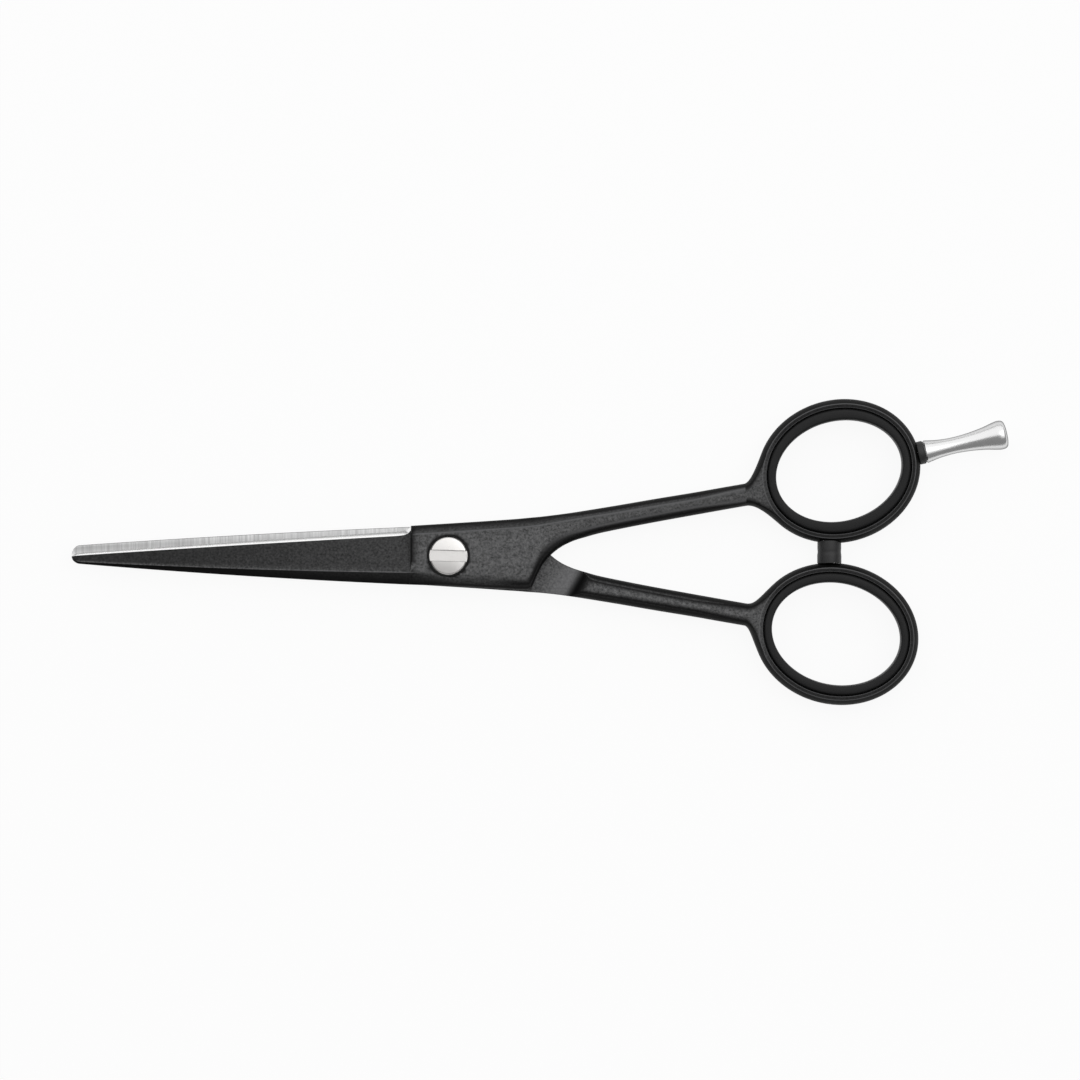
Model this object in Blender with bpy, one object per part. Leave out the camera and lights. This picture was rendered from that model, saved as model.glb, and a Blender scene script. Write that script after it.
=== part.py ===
"""Hair cutting shears lying flat and closed: two crossed halves on a slotted tension screw.

Units are metres. The pivot axis is Z through the origin, the flat rest plane is z = 0, the blades
point along -X and the handles along +X. Each half is built in its own frame with the mating plane at
z = 0 and its outer face towards +Z. The thumb half is then turned over about X.
"""

import math
from dataclasses import dataclass

import bmesh
import bpy
from mathutils import Matrix, Vector

# Blade, measured from the pivot towards the tip.
BLADE_LENGTH = 0.0620
EDGE_AT_PIVOT = 0.00445
EDGE_SLOPE = 0.0585
EDGE_BOW = 0.00046
SPINE_AT_PIVOT = 0.0050
SPINE_SLOPE = 0.0378
NOSE_OFFSET = 0.0001
NOSE_ROUND = 0.0013
NOSE_TURNS = (85, 68, 45, 20, 0)
BLADE_STEPS = 9
RIDGE_AT_PIVOT = 0.0022
RIDGE_SLOPE = 0.0305
BEVEL_AT_PIVOT = 0.00072
BEVEL_SLOPE = 0.0055
BEVEL_STEEPNESS = 0.85
FACE_ANGLE = math.radians(16.0)
SPINE_STEEPNESS = 0.75
SPINE_WALL_MIN = 0.00034
EDGE_LAND = 0.00005
RUN_OUT = ((0.0080, 0.0), (0.0071, 0.00012), (0.0065, 0.00040), (0.0062, 0.00078))

# Pivot block and shank: pairs of points on the inner and outer outline of the finger half.
SHANK_STATIONS = (
    ((-0.00605, -0.00475), (-0.00605, 0.00495)),
    ((-0.00200, -0.00490), (-0.00200, 0.00520)),
    ((0.00300, -0.00513), (0.00250, 0.00548)),
    ((0.00800, -0.00540), (0.00700, 0.00577)),
    ((0.01280, -0.00560), (0.01080, 0.00604)),
    ((0.01376, -0.00497), (0.01230, 0.00617)),
    ((0.01451, -0.00326), (0.01370, 0.00630)),
    ((0.01565, -0.00118), (0.01530, 0.00645)),
    ((0.01706, 0.00035), (0.01690, 0.00665)),
    ((0.01850, 0.00145), (0.01830, 0.00682)),
    ((0.01998, 0.00222), (0.01970, 0.00701)),
    ((0.02120, 0.00268), (0.02095, 0.00720)),
    ((0.02244, 0.00304), (0.02215, 0.00739)),
    ((0.02491, 0.00372), (0.02440, 0.00773)),
    ((0.02985, 0.00474), (0.02915, 0.00854)),
    ((0.03479, 0.00568), (0.03405, 0.00938)),
    ((0.04100, 0.00680), (0.04025, 0.01040)),
    ((0.04520, 0.00755), (0.04450, 0.01115)),
    ((0.04890, 0.00820), (0.04860, 0.01186)),
)
ARM_SHIFT_FROM = 0.0100
ARM_SHIFT_OVER = 0.0100
BLOCK_THICKNESS = 0.0025
RIDE_GAP = 0.0001
BLOCK_LOWER_INSET = 0.0020
BLOCK_LOWER_DROP = 0.0015
BLOCK_UPPER_INSET = 0.0012
BLOCK_UPPER_DROP = 0.0012
ARM_HALF_THICKNESS = 0.0021
ARM_INSET = 0.00115
ARM_DROP = 0.0011
INNER_INSET_MIN = 0.04
ARM_FROM = 0.0130
ARM_OVER = 0.0120
RAMP_FROM = 0.0170
RAMP_TO = 0.0233
RAMP_POWER = 4.5

# Finger rings: offsets inwards from the outer ellipse, and heights from the mating plane.
RING_CREST = (0.0011, 0.00232)
RING_FLANK = (0.00032, 0.0014)
RING_LIP = (0.00142, 0.00225)
RING_WALL = 0.0015
TONGUE_OFFSET = 0.0020
TONGUE_HALF_HEIGHT = 0.00125
FLARE_FROM = math.radians(148.0)
FLARE_TO = math.radians(210.0)
FLARE_ARM_PULL = 0.0016
FLARE_RING_PULL = 0.0098
FLARE_CREST_PULL = 0.0016
FACE_STEPS = 8
RING_STEPS = 32
FLARE_STEPS = 5

# Soft ring inserts, clipped over the steel tongue.
INSERT_GAP = 0.00012
INSERT_HALF_HEIGHT = 0.0025
INSERT_WALL = 0.0032
INSERT_GROOVE = 0.0022
INSERT_EDGE_ROUND = 0.0003
INSERT_FLAT = 0.0008
INSERT_SHOULDER_DROP = 0.0005
INSERT_FLANK_DROP = 0.0014

# Pivot hardware.
PIVOT_STEPS = 40
SCREW_HEAD_RADIUS = 0.003125
SCREW_HEAD_BASE = 0.00415
SCREW_HEAD_TOP = 0.00525
SCREW_CHAMFER = 0.0003
SCREW_SHANK_RADIUS = 0.0020
SCREW_THREAD_RADIUS = 0.00178
SCREW_TAIL_CHAMFER = 0.0002
SLOT_WIDTH = 0.0019
SLOT_DEPTH = 0.0007
SLOT_TILT = math.radians(-1.5)
RUNNING_GAP = 0.00006
BUSH_RADIUS = 0.00338
BUSH_RIM_TOP = 0.00492
BUSH_FLANGE = 0.0003
BUSH_SLEEVE_WALL = 0.00034
SEAT_GAP = 0.00005
LOCK_RING_RADIUS = 0.00255
LOCK_RING_HEIGHT = 0.0008

# Bumper between the rings.
BUMPER_AT = 0.06264
BUMPER_RADIUS = 0.00200
BUMPER_NECK_RADIUS = 0.00197
BUMPER_WAIST_RADIUS = 0.00193
BUMPER_ROUND = 0.0003
BUMPER_ROUND_CUT = 0.3
BUMPER_WAIST_SPAN = 0.25
BUMPER_STEM_RADIUS = 0.00075
BUMPER_STEM_LENGTH = 0.0011
BUMPER_GAP = 0.00006
BUMPER_SINK = 0.00016
STEM_GAP = 0.0001

# Finger rest: (distance from its base, radius) along its axis.
REST_ANGLE = math.radians(12.6)
REST_PROFILE = (
    (0.0, 0.00170),
    (0.0002, 0.00188),
    (0.0012, 0.00170),
    (0.0028, 0.00146),
    (0.0050, 0.00135),
    (0.0075, 0.00149),
    (0.0099, 0.00182),
    (0.0118, 0.00226),
    (0.0127, 0.00240),
    (0.0133, 0.00232),
    (0.0137, 0.00195),
    (0.0139, 0.00110),
)
REST_END = 0.01395
REST_STEM_RADIUS = 0.00105
REST_STEM_LENGTH = 0.0022
REST_STEPS = 24
WASHER_RADIUS = 0.0019
WASHER_ROUND = 0.0002
WASHER_THICKNESS = 0.00108
WASHER_GAP = 0.00008
WASHER_SINK = 0.00022
REST_HOLE_DEPTH = 0.0013
CUT_MARGIN = 0.001
SMOOTH_ANGLE = math.radians(35.0)

# Finishes: (colour, metallic, roughness).
FINISHES = {
    "black_coating": ((0.045, 0.045, 0.046), 0.6, 0.45),
    "polished_steel": ((0.72, 0.71, 0.69), 1.0, 0.18),
    "black_nylon": ((0.02, 0.02, 0.02), 0.0, 0.5),
    "soft_plastic": ((0.025, 0.025, 0.026), 0.0, 0.55),
    "rubber": ((0.035, 0.035, 0.036), 0.0, 0.6),
}


@dataclass
class Half:
    """What differs between the two halves, in the half's own frame."""

    name: str
    spine_bow: float
    arm_shift: float
    block_trim: float
    ring_centre: tuple
    ring_tilt: float
    ring_outer: tuple
    ring_hole: tuple


FINGER = Half(
    name="finger_half",
    spine_bow=0.00144,
    arm_shift=0.0,
    block_trim=0.0,
    ring_centre=(0.06420, 0.01393),
    ring_tilt=math.radians(15.0),
    ring_outer=(0.01353, 0.01174),
    ring_hole=(0.01047, 0.00819),
)
THUMB = Half(
    name="thumb_half",
    spine_bow=0.00102,
    arm_shift=-0.00038,
    block_trim=0.00025,
    ring_centre=(0.06374, 0.01286),
    ring_tilt=math.radians(12.3),
    ring_outer=(0.01365, 0.01161),
    ring_hole=(0.01066, 0.00834),
)


def clear_scene():
    for obj in list(bpy.data.objects):
        bpy.data.objects.remove(obj)


def smooth_step(value):
    value = min(max(value, 0.0), 1.0)
    return value * value * (3.0 - 2.0 * value)


def blend(start, end, amount):
    return start + (end - start) * amount


def make_material(name):
    colour, metallic, roughness = FINISHES[name]
    material = bpy.data.materials.new(name)
    material.use_nodes = True
    shader = material.node_tree.nodes["Principled BSDF"]
    shader.inputs["Base Color"].default_value = (*colour, 1.0)
    shader.inputs["Metallic"].default_value = metallic
    shader.inputs["Roughness"].default_value = roughness
    return material


def finish(obj, name):
    """Gives an object its material and smooth shading across its soft edges."""
    obj.data.materials.append(bpy.data.materials.get(name) or make_material(name))
    obj.data.shade_smooth()
    obj.data.set_sharp_from_angle(angle=SMOOTH_ANGLE)


def make_object(name, points, faces, helper=False):
    """A mesh object with its normals facing out."""
    mesh = bpy.data.meshes.new(name)
    bm = bmesh.new()
    verts = [bm.verts.new(point) for point in points]
    for face in faces:
        bm.faces.new([verts[i] for i in face])
    bmesh.ops.recalc_face_normals(bm, faces=bm.faces)
    bm.to_mesh(mesh)
    bm.free()
    obj = bpy.data.objects.new(name, mesh)
    bpy.context.scene.collection.objects.link(obj)
    if helper:
        obj.hide_render = True
        obj.display_type = "WIRE"
    return obj


def lathe(name, profile, steps, closed=False, helper=False):
    """Turns (radius, height) points about Z. An open profile starts and ends on the axis."""
    points = []
    rows = []
    for radius, height in profile:
        if radius == 0.0:
            rows.append([len(points)] * steps)
            points.append((0.0, 0.0, height))
            continue
        rows.append(list(range(len(points), len(points) + steps)))
        for step in range(steps):
            angle = 2.0 * math.pi * step / steps
            points.append((radius * math.cos(angle), radius * math.sin(angle), height))
    if closed:
        rows.append(rows[0])
    faces = []
    for row, after in zip(rows, rows[1:]):
        for step in range(steps):
            other = (step + 1) % steps
            corners = [row[step], row[other], after[other], after[step]]
            faces.append(list(dict.fromkeys(corners)))
    return make_object(name, points, faces, helper)


def cylinder(name, radius, low, high, steps=PIVOT_STEPS):
    profile = ((0.0, low), (radius, low), (radius, high), (0.0, high))
    return lathe(name, profile, steps, helper=True)


def stepped_hole(name, hole, seat):
    """Cutter for a stem's hole with a wider seat above it; each is (radius, bottom height)."""
    profile = (
        (0.0, hole[1]),
        hole,
        (hole[0], seat[1]),
        seat,
        (seat[0], CUT_MARGIN),
        (0.0, CUT_MARGIN),
    )
    return lathe(name, profile, REST_STEPS, helper=True)


def cut(obj, cutter):
    modifier = obj.modifiers.new(cutter.name, "BOOLEAN")
    modifier.operation = "DIFFERENCE"
    modifier.solver = "EXACT"
    modifier.object = cutter


def ring_point(half, offset, angle, height):
    """A point on the ellipse that lies this far inside the ring's outer ellipse."""
    across = (half.ring_outer[0] - offset) * math.cos(angle)
    along = (half.ring_outer[1] - offset) * math.sin(angle)
    turned = Matrix.Rotation(half.ring_tilt, 2) @ Vector((across, along))
    return Vector((half.ring_centre[0] + turned.x, half.ring_centre[1] + turned.y, height))


def ring_reach(half, direction):
    """Distance from the ring's centre to its outer ellipse in this direction."""
    local = direction - half.ring_tilt
    across = math.cos(local) / half.ring_outer[0]
    along = math.sin(local) / half.ring_outer[1]
    return 1.0 / math.hypot(across, along)


def ring_side(half, x):
    """Height in y of the ring's outer ellipse nearest the other ring, at this x."""
    cos, sin = math.cos(half.ring_tilt), math.sin(half.ring_tilt)
    a, b = half.ring_outer
    dx = x - half.ring_centre[0]
    square = (sin / a) ** 2 + (cos / b) ** 2
    middle = dx * cos * sin * (1.0 / a**2 - 1.0 / b**2)
    rest = dx**2 * ((cos / a) ** 2 + (sin / b) ** 2) - 1.0
    return half.ring_centre[1] - (middle + math.sqrt(middle**2 - square * rest)) / square


def section(lower, upper, corners, upper_side, lower_side, inner):
    """One closed loop of points round a half.

    Args: lower and upper are outline points; corners gives (inset, height) of the outer face at its
    lower and upper end; the sides give (inset, height) from the outer face down for the upper side and
    up for the lower one; inner gives the inner face's insets and a function of height.
    """
    lower = Vector(lower)
    upper = Vector(upper)
    across = (upper - lower).normalized()
    width = (upper - lower).length

    def at(inset, height, from_upper):
        spot = upper - across * inset if from_upper else lower + across * inset
        return Vector((spot.x, spot.y, height))

    points = []
    for step in range(FACE_STEPS + 1):
        amount = step / FACE_STEPS
        inset = blend(corners[0][0], width - corners[1][0], amount)
        points.append(at(inset, blend(corners[0][1], corners[1][1], amount), False))
    points += [at(inset, height, True) for inset, height in upper_side]
    for step in range(FACE_STEPS + 1):
        inset = blend(width - inner[1], inner[0], step / FACE_STEPS)
        spot = lower + across * inset
        points.append(Vector((spot.x, spot.y, inner[2](spot))))
    points += [at(inset, height, False) for inset, height in lower_side]
    return points


def blade_section(half, distance, edge_lift, pinch):
    """Section of the blade at this distance from the pivot, pinched towards the nose by a factor."""
    bow = (distance / BLADE_LENGTH) ** 2
    edge = EDGE_AT_PIVOT - EDGE_SLOPE * distance - EDGE_BOW * bow + edge_lift
    spine = -SPINE_AT_PIVOT + SPINE_SLOPE * distance + half.spine_bow * bow
    edge = blend(-NOSE_OFFSET, edge, pinch)
    spine = blend(-NOSE_OFFSET, spine, pinch)
    ridge = (RIDGE_AT_PIVOT - RIDGE_SLOPE * distance) * pinch
    bevel = (BEVEL_AT_PIVOT - BEVEL_SLOPE * distance) * pinch
    floor = RIDE_GAP / 2.0
    bevel_top = floor + EDGE_LAND + bevel * BEVEL_STEEPNESS
    ridge_top = bevel_top + math.tan(FACE_ANGLE) * (edge - spine - bevel - ridge)
    wall = max(ridge_top - ridge * SPINE_STEEPNESS, floor + SPINE_WALL_MIN)
    ridge_top = max(ridge_top, wall + EDGE_LAND)
    land = floor + EDGE_LAND
    upper_side = [(bevel * (1.0 - k / 3.0), blend(bevel_top, land, k / 3.0)) for k in (1, 2, 3)]
    lower_side = [(0.0, blend(floor, wall, k / 3.0)) for k in (1, 2, 3)]
    return section(
        (-distance, spine),
        (-distance, edge),
        ((ridge, ridge_top), (bevel, bevel_top)),
        upper_side,
        lower_side,
        (0.0, 0.0, lambda spot: floor),
    )


def shank_section(half, lower, upper):
    """Section of the pivot block or arm between two outline points."""
    middle = (lower[0] + upper[0]) / 2.0
    turn = smooth_step((middle - ARM_SHIFT_FROM) / ARM_SHIFT_OVER)
    lower = (lower[0], lower[1] + half.arm_shift * turn)
    upper = (upper[0], upper[1] + blend(-half.block_trim, half.arm_shift, turn))
    arm = smooth_step((middle - ARM_FROM) / ARM_OVER)
    top = blend(BLOCK_THICKNESS, ARM_HALF_THICKNESS, arm)
    low_inset = blend(BLOCK_LOWER_INSET, ARM_INSET, arm)
    low_drop = blend(BLOCK_LOWER_DROP, ARM_DROP, arm)
    up_inset = blend(BLOCK_UPPER_INSET, ARM_INSET, arm)
    up_drop = blend(BLOCK_UPPER_DROP, ARM_DROP, arm)
    floor = RIDE_GAP / 2.0

    def inner_height(spot):
        reach = (math.hypot(spot[0], spot[1]) - RAMP_FROM) / (RAMP_TO - RAMP_FROM)
        reach = min(max(reach, 0.0), 1.0)
        return blend(floor, -ARM_HALF_THICKNESS, reach**RAMP_POWER)

    def side(corner, drop, inset):
        bottom = inner_height(corner)
        rise = ARM_DROP * inset / ARM_INSET
        return [(0.0, top - drop), (0.0, (top - drop + bottom + rise) / 2.0), (0.0, bottom + rise)]

    def inner_inset(corner):
        depth = (floor - inner_height(corner)) / ARM_HALF_THICKNESS
        return ARM_INSET * max(arm * depth, INNER_INSET_MIN)

    inner_low = inner_inset(lower)
    inner_up = inner_inset(upper)
    return section(
        lower,
        upper,
        ((low_inset, top), (up_inset, top)),
        side(upper, up_drop, inner_up),
        side(lower, low_drop, inner_low)[::-1],
        (inner_low, inner_up, inner_height),
    )


def half_loops(half):
    """All section loops from the tip to the end of the arm."""
    loops = []
    for turn in NOSE_TURNS:
        angle = math.radians(turn)
        distance = BLADE_LENGTH - NOSE_ROUND * (1.0 - math.sin(angle))
        loops.append(blade_section(half, distance, 0.0, math.cos(angle)))
    start = BLADE_LENGTH - NOSE_ROUND
    for step in range(1, BLADE_STEPS):
        distance = blend(start, RUN_OUT[0][0], step / BLADE_STEPS)
        loops.append(blade_section(half, distance, 0.0, 1.0))
    lift_scale = 1.0 - half.block_trim / RUN_OUT[-1][1]
    for distance, lift in RUN_OUT:
        loops.append(blade_section(half, distance, lift * lift_scale, 1.0))
    for lower, upper in SHANK_STATIONS:
        loops.append(shank_section(half, lower, upper))
    return loops


def flare_target(half):
    """Loop on the ring where the arm flows into it, with the direction of flow at each point."""
    profile = ring_profile()[:5]
    spots = []
    middle = Vector((half.ring_centre[0], half.ring_centre[1], 0.0))

    def flow(point, angle, amount):
        nudge = 0.01
        ahead = ring_point(half, 0.0, angle + nudge, 0.0) - ring_point(half, 0.0, angle, 0.0)
        inward = (middle - Vector((point.x, point.y, 0.0))).normalized() * FLARE_CREST_PULL
        sideways = ahead.normalized() * FLARE_RING_PULL * math.copysign(1.0, amount)
        return inward.lerp(sideways, abs(amount) ** 3)

    def row(index, steps):
        for step in steps:
            angle = blend(FLARE_TO, FLARE_FROM, step / FACE_STEPS)
            point = ring_point(half, profile[index][0], angle, profile[index][1])
            spots.append((point, flow(point, angle, 1.0 - 2.0 * step / FACE_STEPS)))

    def column(indices, angle, amount):
        for index in indices:
            point = ring_point(half, profile[index][0], angle, profile[index][1])
            spots.append((point, flow(point, angle, amount)))

    row(0, range(FACE_STEPS + 1))
    column((1, 2, 3), FLARE_FROM, -1.0)
    row(4, range(FACE_STEPS, -1, -1))
    column((3, 2, 1), FLARE_TO, 1.0)
    return spots


def ring_profile():
    """(offset, height) points of the steel ring, from the upper crest round the outside."""
    upper = [RING_LIP, (RING_WALL, TONGUE_HALF_HEIGHT), (TONGUE_OFFSET, TONGUE_HALF_HEIGHT)]
    outside = [RING_CREST, RING_FLANK, (0.0, 0.0)]
    lower = [(offset, -height) for offset, height in outside[1::-1] + upper]
    return outside + lower + upper[::-1]


def build_half(half):
    """One half as a single body: lofted blade, block and arm flowing into the swept ring."""
    points = []
    faces = []

    def add(loop):
        points.extend(loop)
        return list(range(len(points) - len(loop), len(points)))

    def skin(first, second):
        for i in range(len(first)):
            j = (i + 1) % len(first)
            faces.append([first[i], first[j], second[j], second[i]])

    loops = half_loops(half)
    rows = [add(loop) for loop in loops]
    faces.append(rows[0])
    for first, second in zip(rows, rows[1:]):
        skin(first, second)
    profile = ring_profile()
    turn = 2.0 * math.pi - (FLARE_TO - FLARE_FROM)
    angles = [FLARE_TO + turn * step / RING_STEPS for step in range(RING_STEPS)]
    angles += [blend(FLARE_FROM, FLARE_TO, step / FACE_STEPS) for step in range(FACE_STEPS)]
    grid = {}
    for i, angle in enumerate(angles):
        for j, (offset, height) in enumerate(profile):
            if i > RING_STEPS and j in (1, 2, 3):
                continue
            grid[i, j] = len(points)
            points.append(ring_point(half, offset, angle, height))
    for i in range(len(angles)):
        for j in range(len(profile)):
            after_i = (i + 1) % len(angles)
            after_j = (j + 1) % len(profile)
            if i >= RING_STEPS and j < 4:
                continue
            faces.append([grid[i, j], grid[after_i, j], grid[after_i, after_j], grid[i, after_j]])
    patch = [(RING_STEPS + FACE_STEPS - k) % len(angles) for k in range(FACE_STEPS + 1)]
    target = [grid[i, 0] for i in patch] + [grid[patch[-1], j] for j in (1, 2, 3)]
    target += [grid[i, 4] for i in patch[::-1]] + [grid[patch[0], j] for j in (3, 2, 1)]
    arm = loops[-1]
    ahead = Vector(SHANK_STATIONS[-1][0]) - Vector(SHANK_STATIONS[-2][0])
    ahead = Vector((ahead.x, ahead.y, 0.0)).normalized() * FLARE_ARM_PULL
    before = rows[-1]
    spots = flare_target(half)
    for step in range(1, FLARE_STEPS):
        u = step / FLARE_STEPS
        loop = []
        for start, (end, flow) in zip(arm, spots):
            point = start * (2 * u**3 - 3 * u**2 + 1) + ahead * (u**3 - 2 * u**2 + u)
            loop.append(point + end * (3 * u**2 - 2 * u**3) + flow * (u**3 - u**2))
        row = add(loop)
        skin(before, row)
        before = row
    skin(before, target)
    return make_object(half.name, points, faces)


def build_insert(half, name):
    """Soft liner clipped over the tongue of a ring."""
    lip = RING_WALL + INSERT_GAP
    notch = TONGUE_HALF_HEIGHT + INSERT_GAP
    top = INSERT_HALF_HEIGHT
    upper = [
        (INSERT_GROOVE, notch),
        (lip, notch),
        (lip, top - INSERT_EDGE_ROUND),
        (lip + INSERT_EDGE_ROUND, top),
        (lip + INSERT_FLAT, top),
        (INSERT_WALL - INSERT_EDGE_ROUND, top - INSERT_SHOULDER_DROP),
        (INSERT_WALL, top - INSERT_FLANK_DROP),
    ]
    profile = upper + [(offset, -height) for offset, height in upper[::-1]]
    points = []
    steps = RING_STEPS + FACE_STEPS
    turned = Matrix.Rotation(half.ring_tilt, 2)
    for step in range(steps):
        angle = 2.0 * math.pi * step / steps
        for offset, height in profile:
            amount = (offset - lip) / (INSERT_WALL - lip)
            a = blend(half.ring_outer[0] - lip, half.ring_hole[0], amount)
            b = blend(half.ring_outer[1] - lip, half.ring_hole[1], amount)
            spot = turned @ Vector((a * math.cos(angle), b * math.sin(angle)))
            points.append((half.ring_centre[0] + spot.x, half.ring_centre[1] + spot.y, height))
    faces = []
    count = len(profile)
    for step in range(steps):
        for j in range(count):
            here, after = step * count, (step + 1) % steps * count
            faces.append([here + j, after + j, after + (j + 1) % count, here + (j + 1) % count])
    return make_object(name, points, faces)


def build_pivot():
    """Tension screw, flanged bush under its head and the ring that locks its thread."""
    mating = BLOCK_THICKNESS
    rim = SCREW_HEAD_TOP - SCREW_CHAMFER
    screw = lathe(
        "pivot_screw",
        (
            (0.0, 0.0),
            (SCREW_THREAD_RADIUS - SCREW_TAIL_CHAMFER, 0.0),
            (SCREW_THREAD_RADIUS, SCREW_TAIL_CHAMFER),
            (SCREW_THREAD_RADIUS, mating),
            (SCREW_SHANK_RADIUS, mating),
            (SCREW_SHANK_RADIUS, SCREW_HEAD_BASE),
            (SCREW_HEAD_RADIUS, SCREW_HEAD_BASE),
            (SCREW_HEAD_RADIUS, rim),
            (SCREW_HEAD_RADIUS - SCREW_CHAMFER, SCREW_HEAD_TOP),
            (0.0, SCREW_HEAD_TOP),
        ),
        PIVOT_STEPS,
    )
    reach = SCREW_HEAD_RADIUS + CUT_MARGIN
    half_width = SLOT_WIDTH / 2.0
    bottom, top = SCREW_HEAD_TOP - SLOT_DEPTH, SCREW_HEAD_TOP + CUT_MARGIN
    corners = [
        (x, y, z)
        for z in (bottom, top)
        for x, y in (
            (-reach, -half_width),
            (reach, -half_width),
            (reach, half_width),
            (-reach, half_width),
        )
    ]
    sides = [(0, 1, 5, 4), (1, 2, 6, 5), (2, 3, 7, 6), (3, 0, 4, 7)]
    slot = make_object("slot_cutter", corners, sides + [(0, 1, 2, 3), (4, 5, 6, 7)], helper=True)
    slot.rotation_euler.z = SLOT_TILT
    cut(screw, slot)
    finish(screw, "polished_steel")
    flange_top = SCREW_HEAD_BASE - RUNNING_GAP
    flange_base = flange_top - BUSH_FLANGE
    bore = SCREW_SHANK_RADIUS + RUNNING_GAP
    sleeve = bore + BUSH_SLEEVE_WALL
    cup = SCREW_HEAD_RADIUS + RUNNING_GAP
    sleeve_end = mating + RIDE_GAP
    bush = lathe(
        "pivot_bush",
        (
            (bore, sleeve_end),
            (sleeve, sleeve_end),
            (sleeve, flange_base),
            (BUSH_RADIUS, flange_base),
            (BUSH_RADIUS, BUSH_RIM_TOP),
            (cup, BUSH_RIM_TOP),
            (cup, flange_top),
            (bore, flange_top),
        ),
        PIVOT_STEPS,
        closed=True,
    )
    ring_top = mating - RIDE_GAP
    bore = SCREW_THREAD_RADIUS + RUNNING_GAP
    lock_ring = lathe(
        "thread_lock_ring",
        (
            (bore, ring_top - LOCK_RING_HEIGHT),
            (LOCK_RING_RADIUS, ring_top - LOCK_RING_HEIGHT),
            (LOCK_RING_RADIUS, ring_top),
            (bore, ring_top),
        ),
        PIVOT_STEPS,
        closed=True,
    )
    finish(bush, "black_nylon")
    finish(lock_ring, "black_nylon")
    return flange_base, sleeve


def place_on_axis(obj, origin, direction):
    """Puts a lathed object with its own Z along a direction in the XY plane."""
    turned = Vector(direction).to_track_quat("Z", "Y").to_matrix().to_4x4()
    obj.matrix_world = Matrix.Translation(origin) @ turned


def build_bumper(finger):
    """Rubber stop with a stem pressed into the finger ring."""
    near = ring_side(FINGER, BUMPER_AT)
    far = -ring_side(THUMB, BUMPER_AT)
    length = near + BUMPER_SINK - far - BUMPER_GAP
    middle = length / 2.0
    rounding = BUMPER_ROUND * BUMPER_ROUND_CUT
    bumper = lathe(
        "bumper",
        (
            (0.0, -BUMPER_STEM_LENGTH),
            (BUMPER_STEM_RADIUS, -BUMPER_STEM_LENGTH),
            (BUMPER_STEM_RADIUS, 0.0),
            (BUMPER_NECK_RADIUS, 0.0),
            (BUMPER_NECK_RADIUS, middle * (1.0 - BUMPER_WAIST_SPAN)),
            (BUMPER_WAIST_RADIUS, middle),
            (BUMPER_RADIUS, middle * (1.0 + BUMPER_WAIST_SPAN)),
            (BUMPER_RADIUS, length - BUMPER_ROUND),
            (BUMPER_RADIUS - rounding, length - rounding),
            (BUMPER_RADIUS - BUMPER_ROUND, length),
            (0.0, length),
        ),
        REST_STEPS,
    )
    top = Vector((BUMPER_AT, near + BUMPER_SINK, BLOCK_THICKNESS))
    place_on_axis(bumper, top, (0.0, -1.0, 0.0))
    finish(bumper, "rubber")
    hole = stepped_hole(
        "bumper_hole",
        (BUMPER_STEM_RADIUS + STEM_GAP, -BUMPER_STEM_LENGTH - STEM_GAP),
        (BUMPER_NECK_RADIUS + STEM_GAP, -BUMPER_GAP),
    )
    place_on_axis(hole, top, (0.0, -1.0, 0.0))
    cut(finger, hole)


def build_rest(finger):
    """Polished finger rest screwed into the end of the finger ring, on a soft washer."""
    direction = Vector((math.cos(REST_ANGLE), math.sin(REST_ANGLE), 0.0))
    centre = Vector((FINGER.ring_centre[0], FINGER.ring_centre[1], BLOCK_THICKNESS))
    wall = ring_reach(FINGER, REST_ANGLE)
    seat = centre + direction * (wall - WASHER_SINK)
    base = WASHER_THICKNESS + WASHER_GAP
    profile = [
        (0.0, base - REST_STEM_LENGTH),
        (REST_STEM_RADIUS, base - REST_STEM_LENGTH),
        (REST_STEM_RADIUS, base),
    ]
    profile += [(radius, base + distance) for distance, radius in REST_PROFILE]
    rest = lathe("finger_rest", profile + [(0.0, base + REST_END)], REST_STEPS)
    place_on_axis(rest, seat, direction)
    finish(rest, "polished_steel")
    bore = REST_STEM_RADIUS + STEM_GAP
    washer = lathe(
        "finger_rest_washer",
        (
            (bore, 0.0),
            (WASHER_RADIUS - WASHER_ROUND, 0.0),
            (WASHER_RADIUS, WASHER_ROUND),
            (WASHER_RADIUS, WASHER_THICKNESS - WASHER_ROUND),
            (WASHER_RADIUS - WASHER_ROUND, WASHER_THICKNESS),
            (bore, WASHER_THICKNESS),
        ),
        REST_STEPS,
        closed=True,
    )
    place_on_axis(washer, seat, direction)
    finish(washer, "rubber")
    recess = (WASHER_RADIUS + STEM_GAP, -WASHER_GAP)
    hole = stepped_hole("rest_hole", (bore, -REST_HOLE_DEPTH), recess)
    place_on_axis(hole, seat, direction)
    cut(finger, hole)


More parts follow.
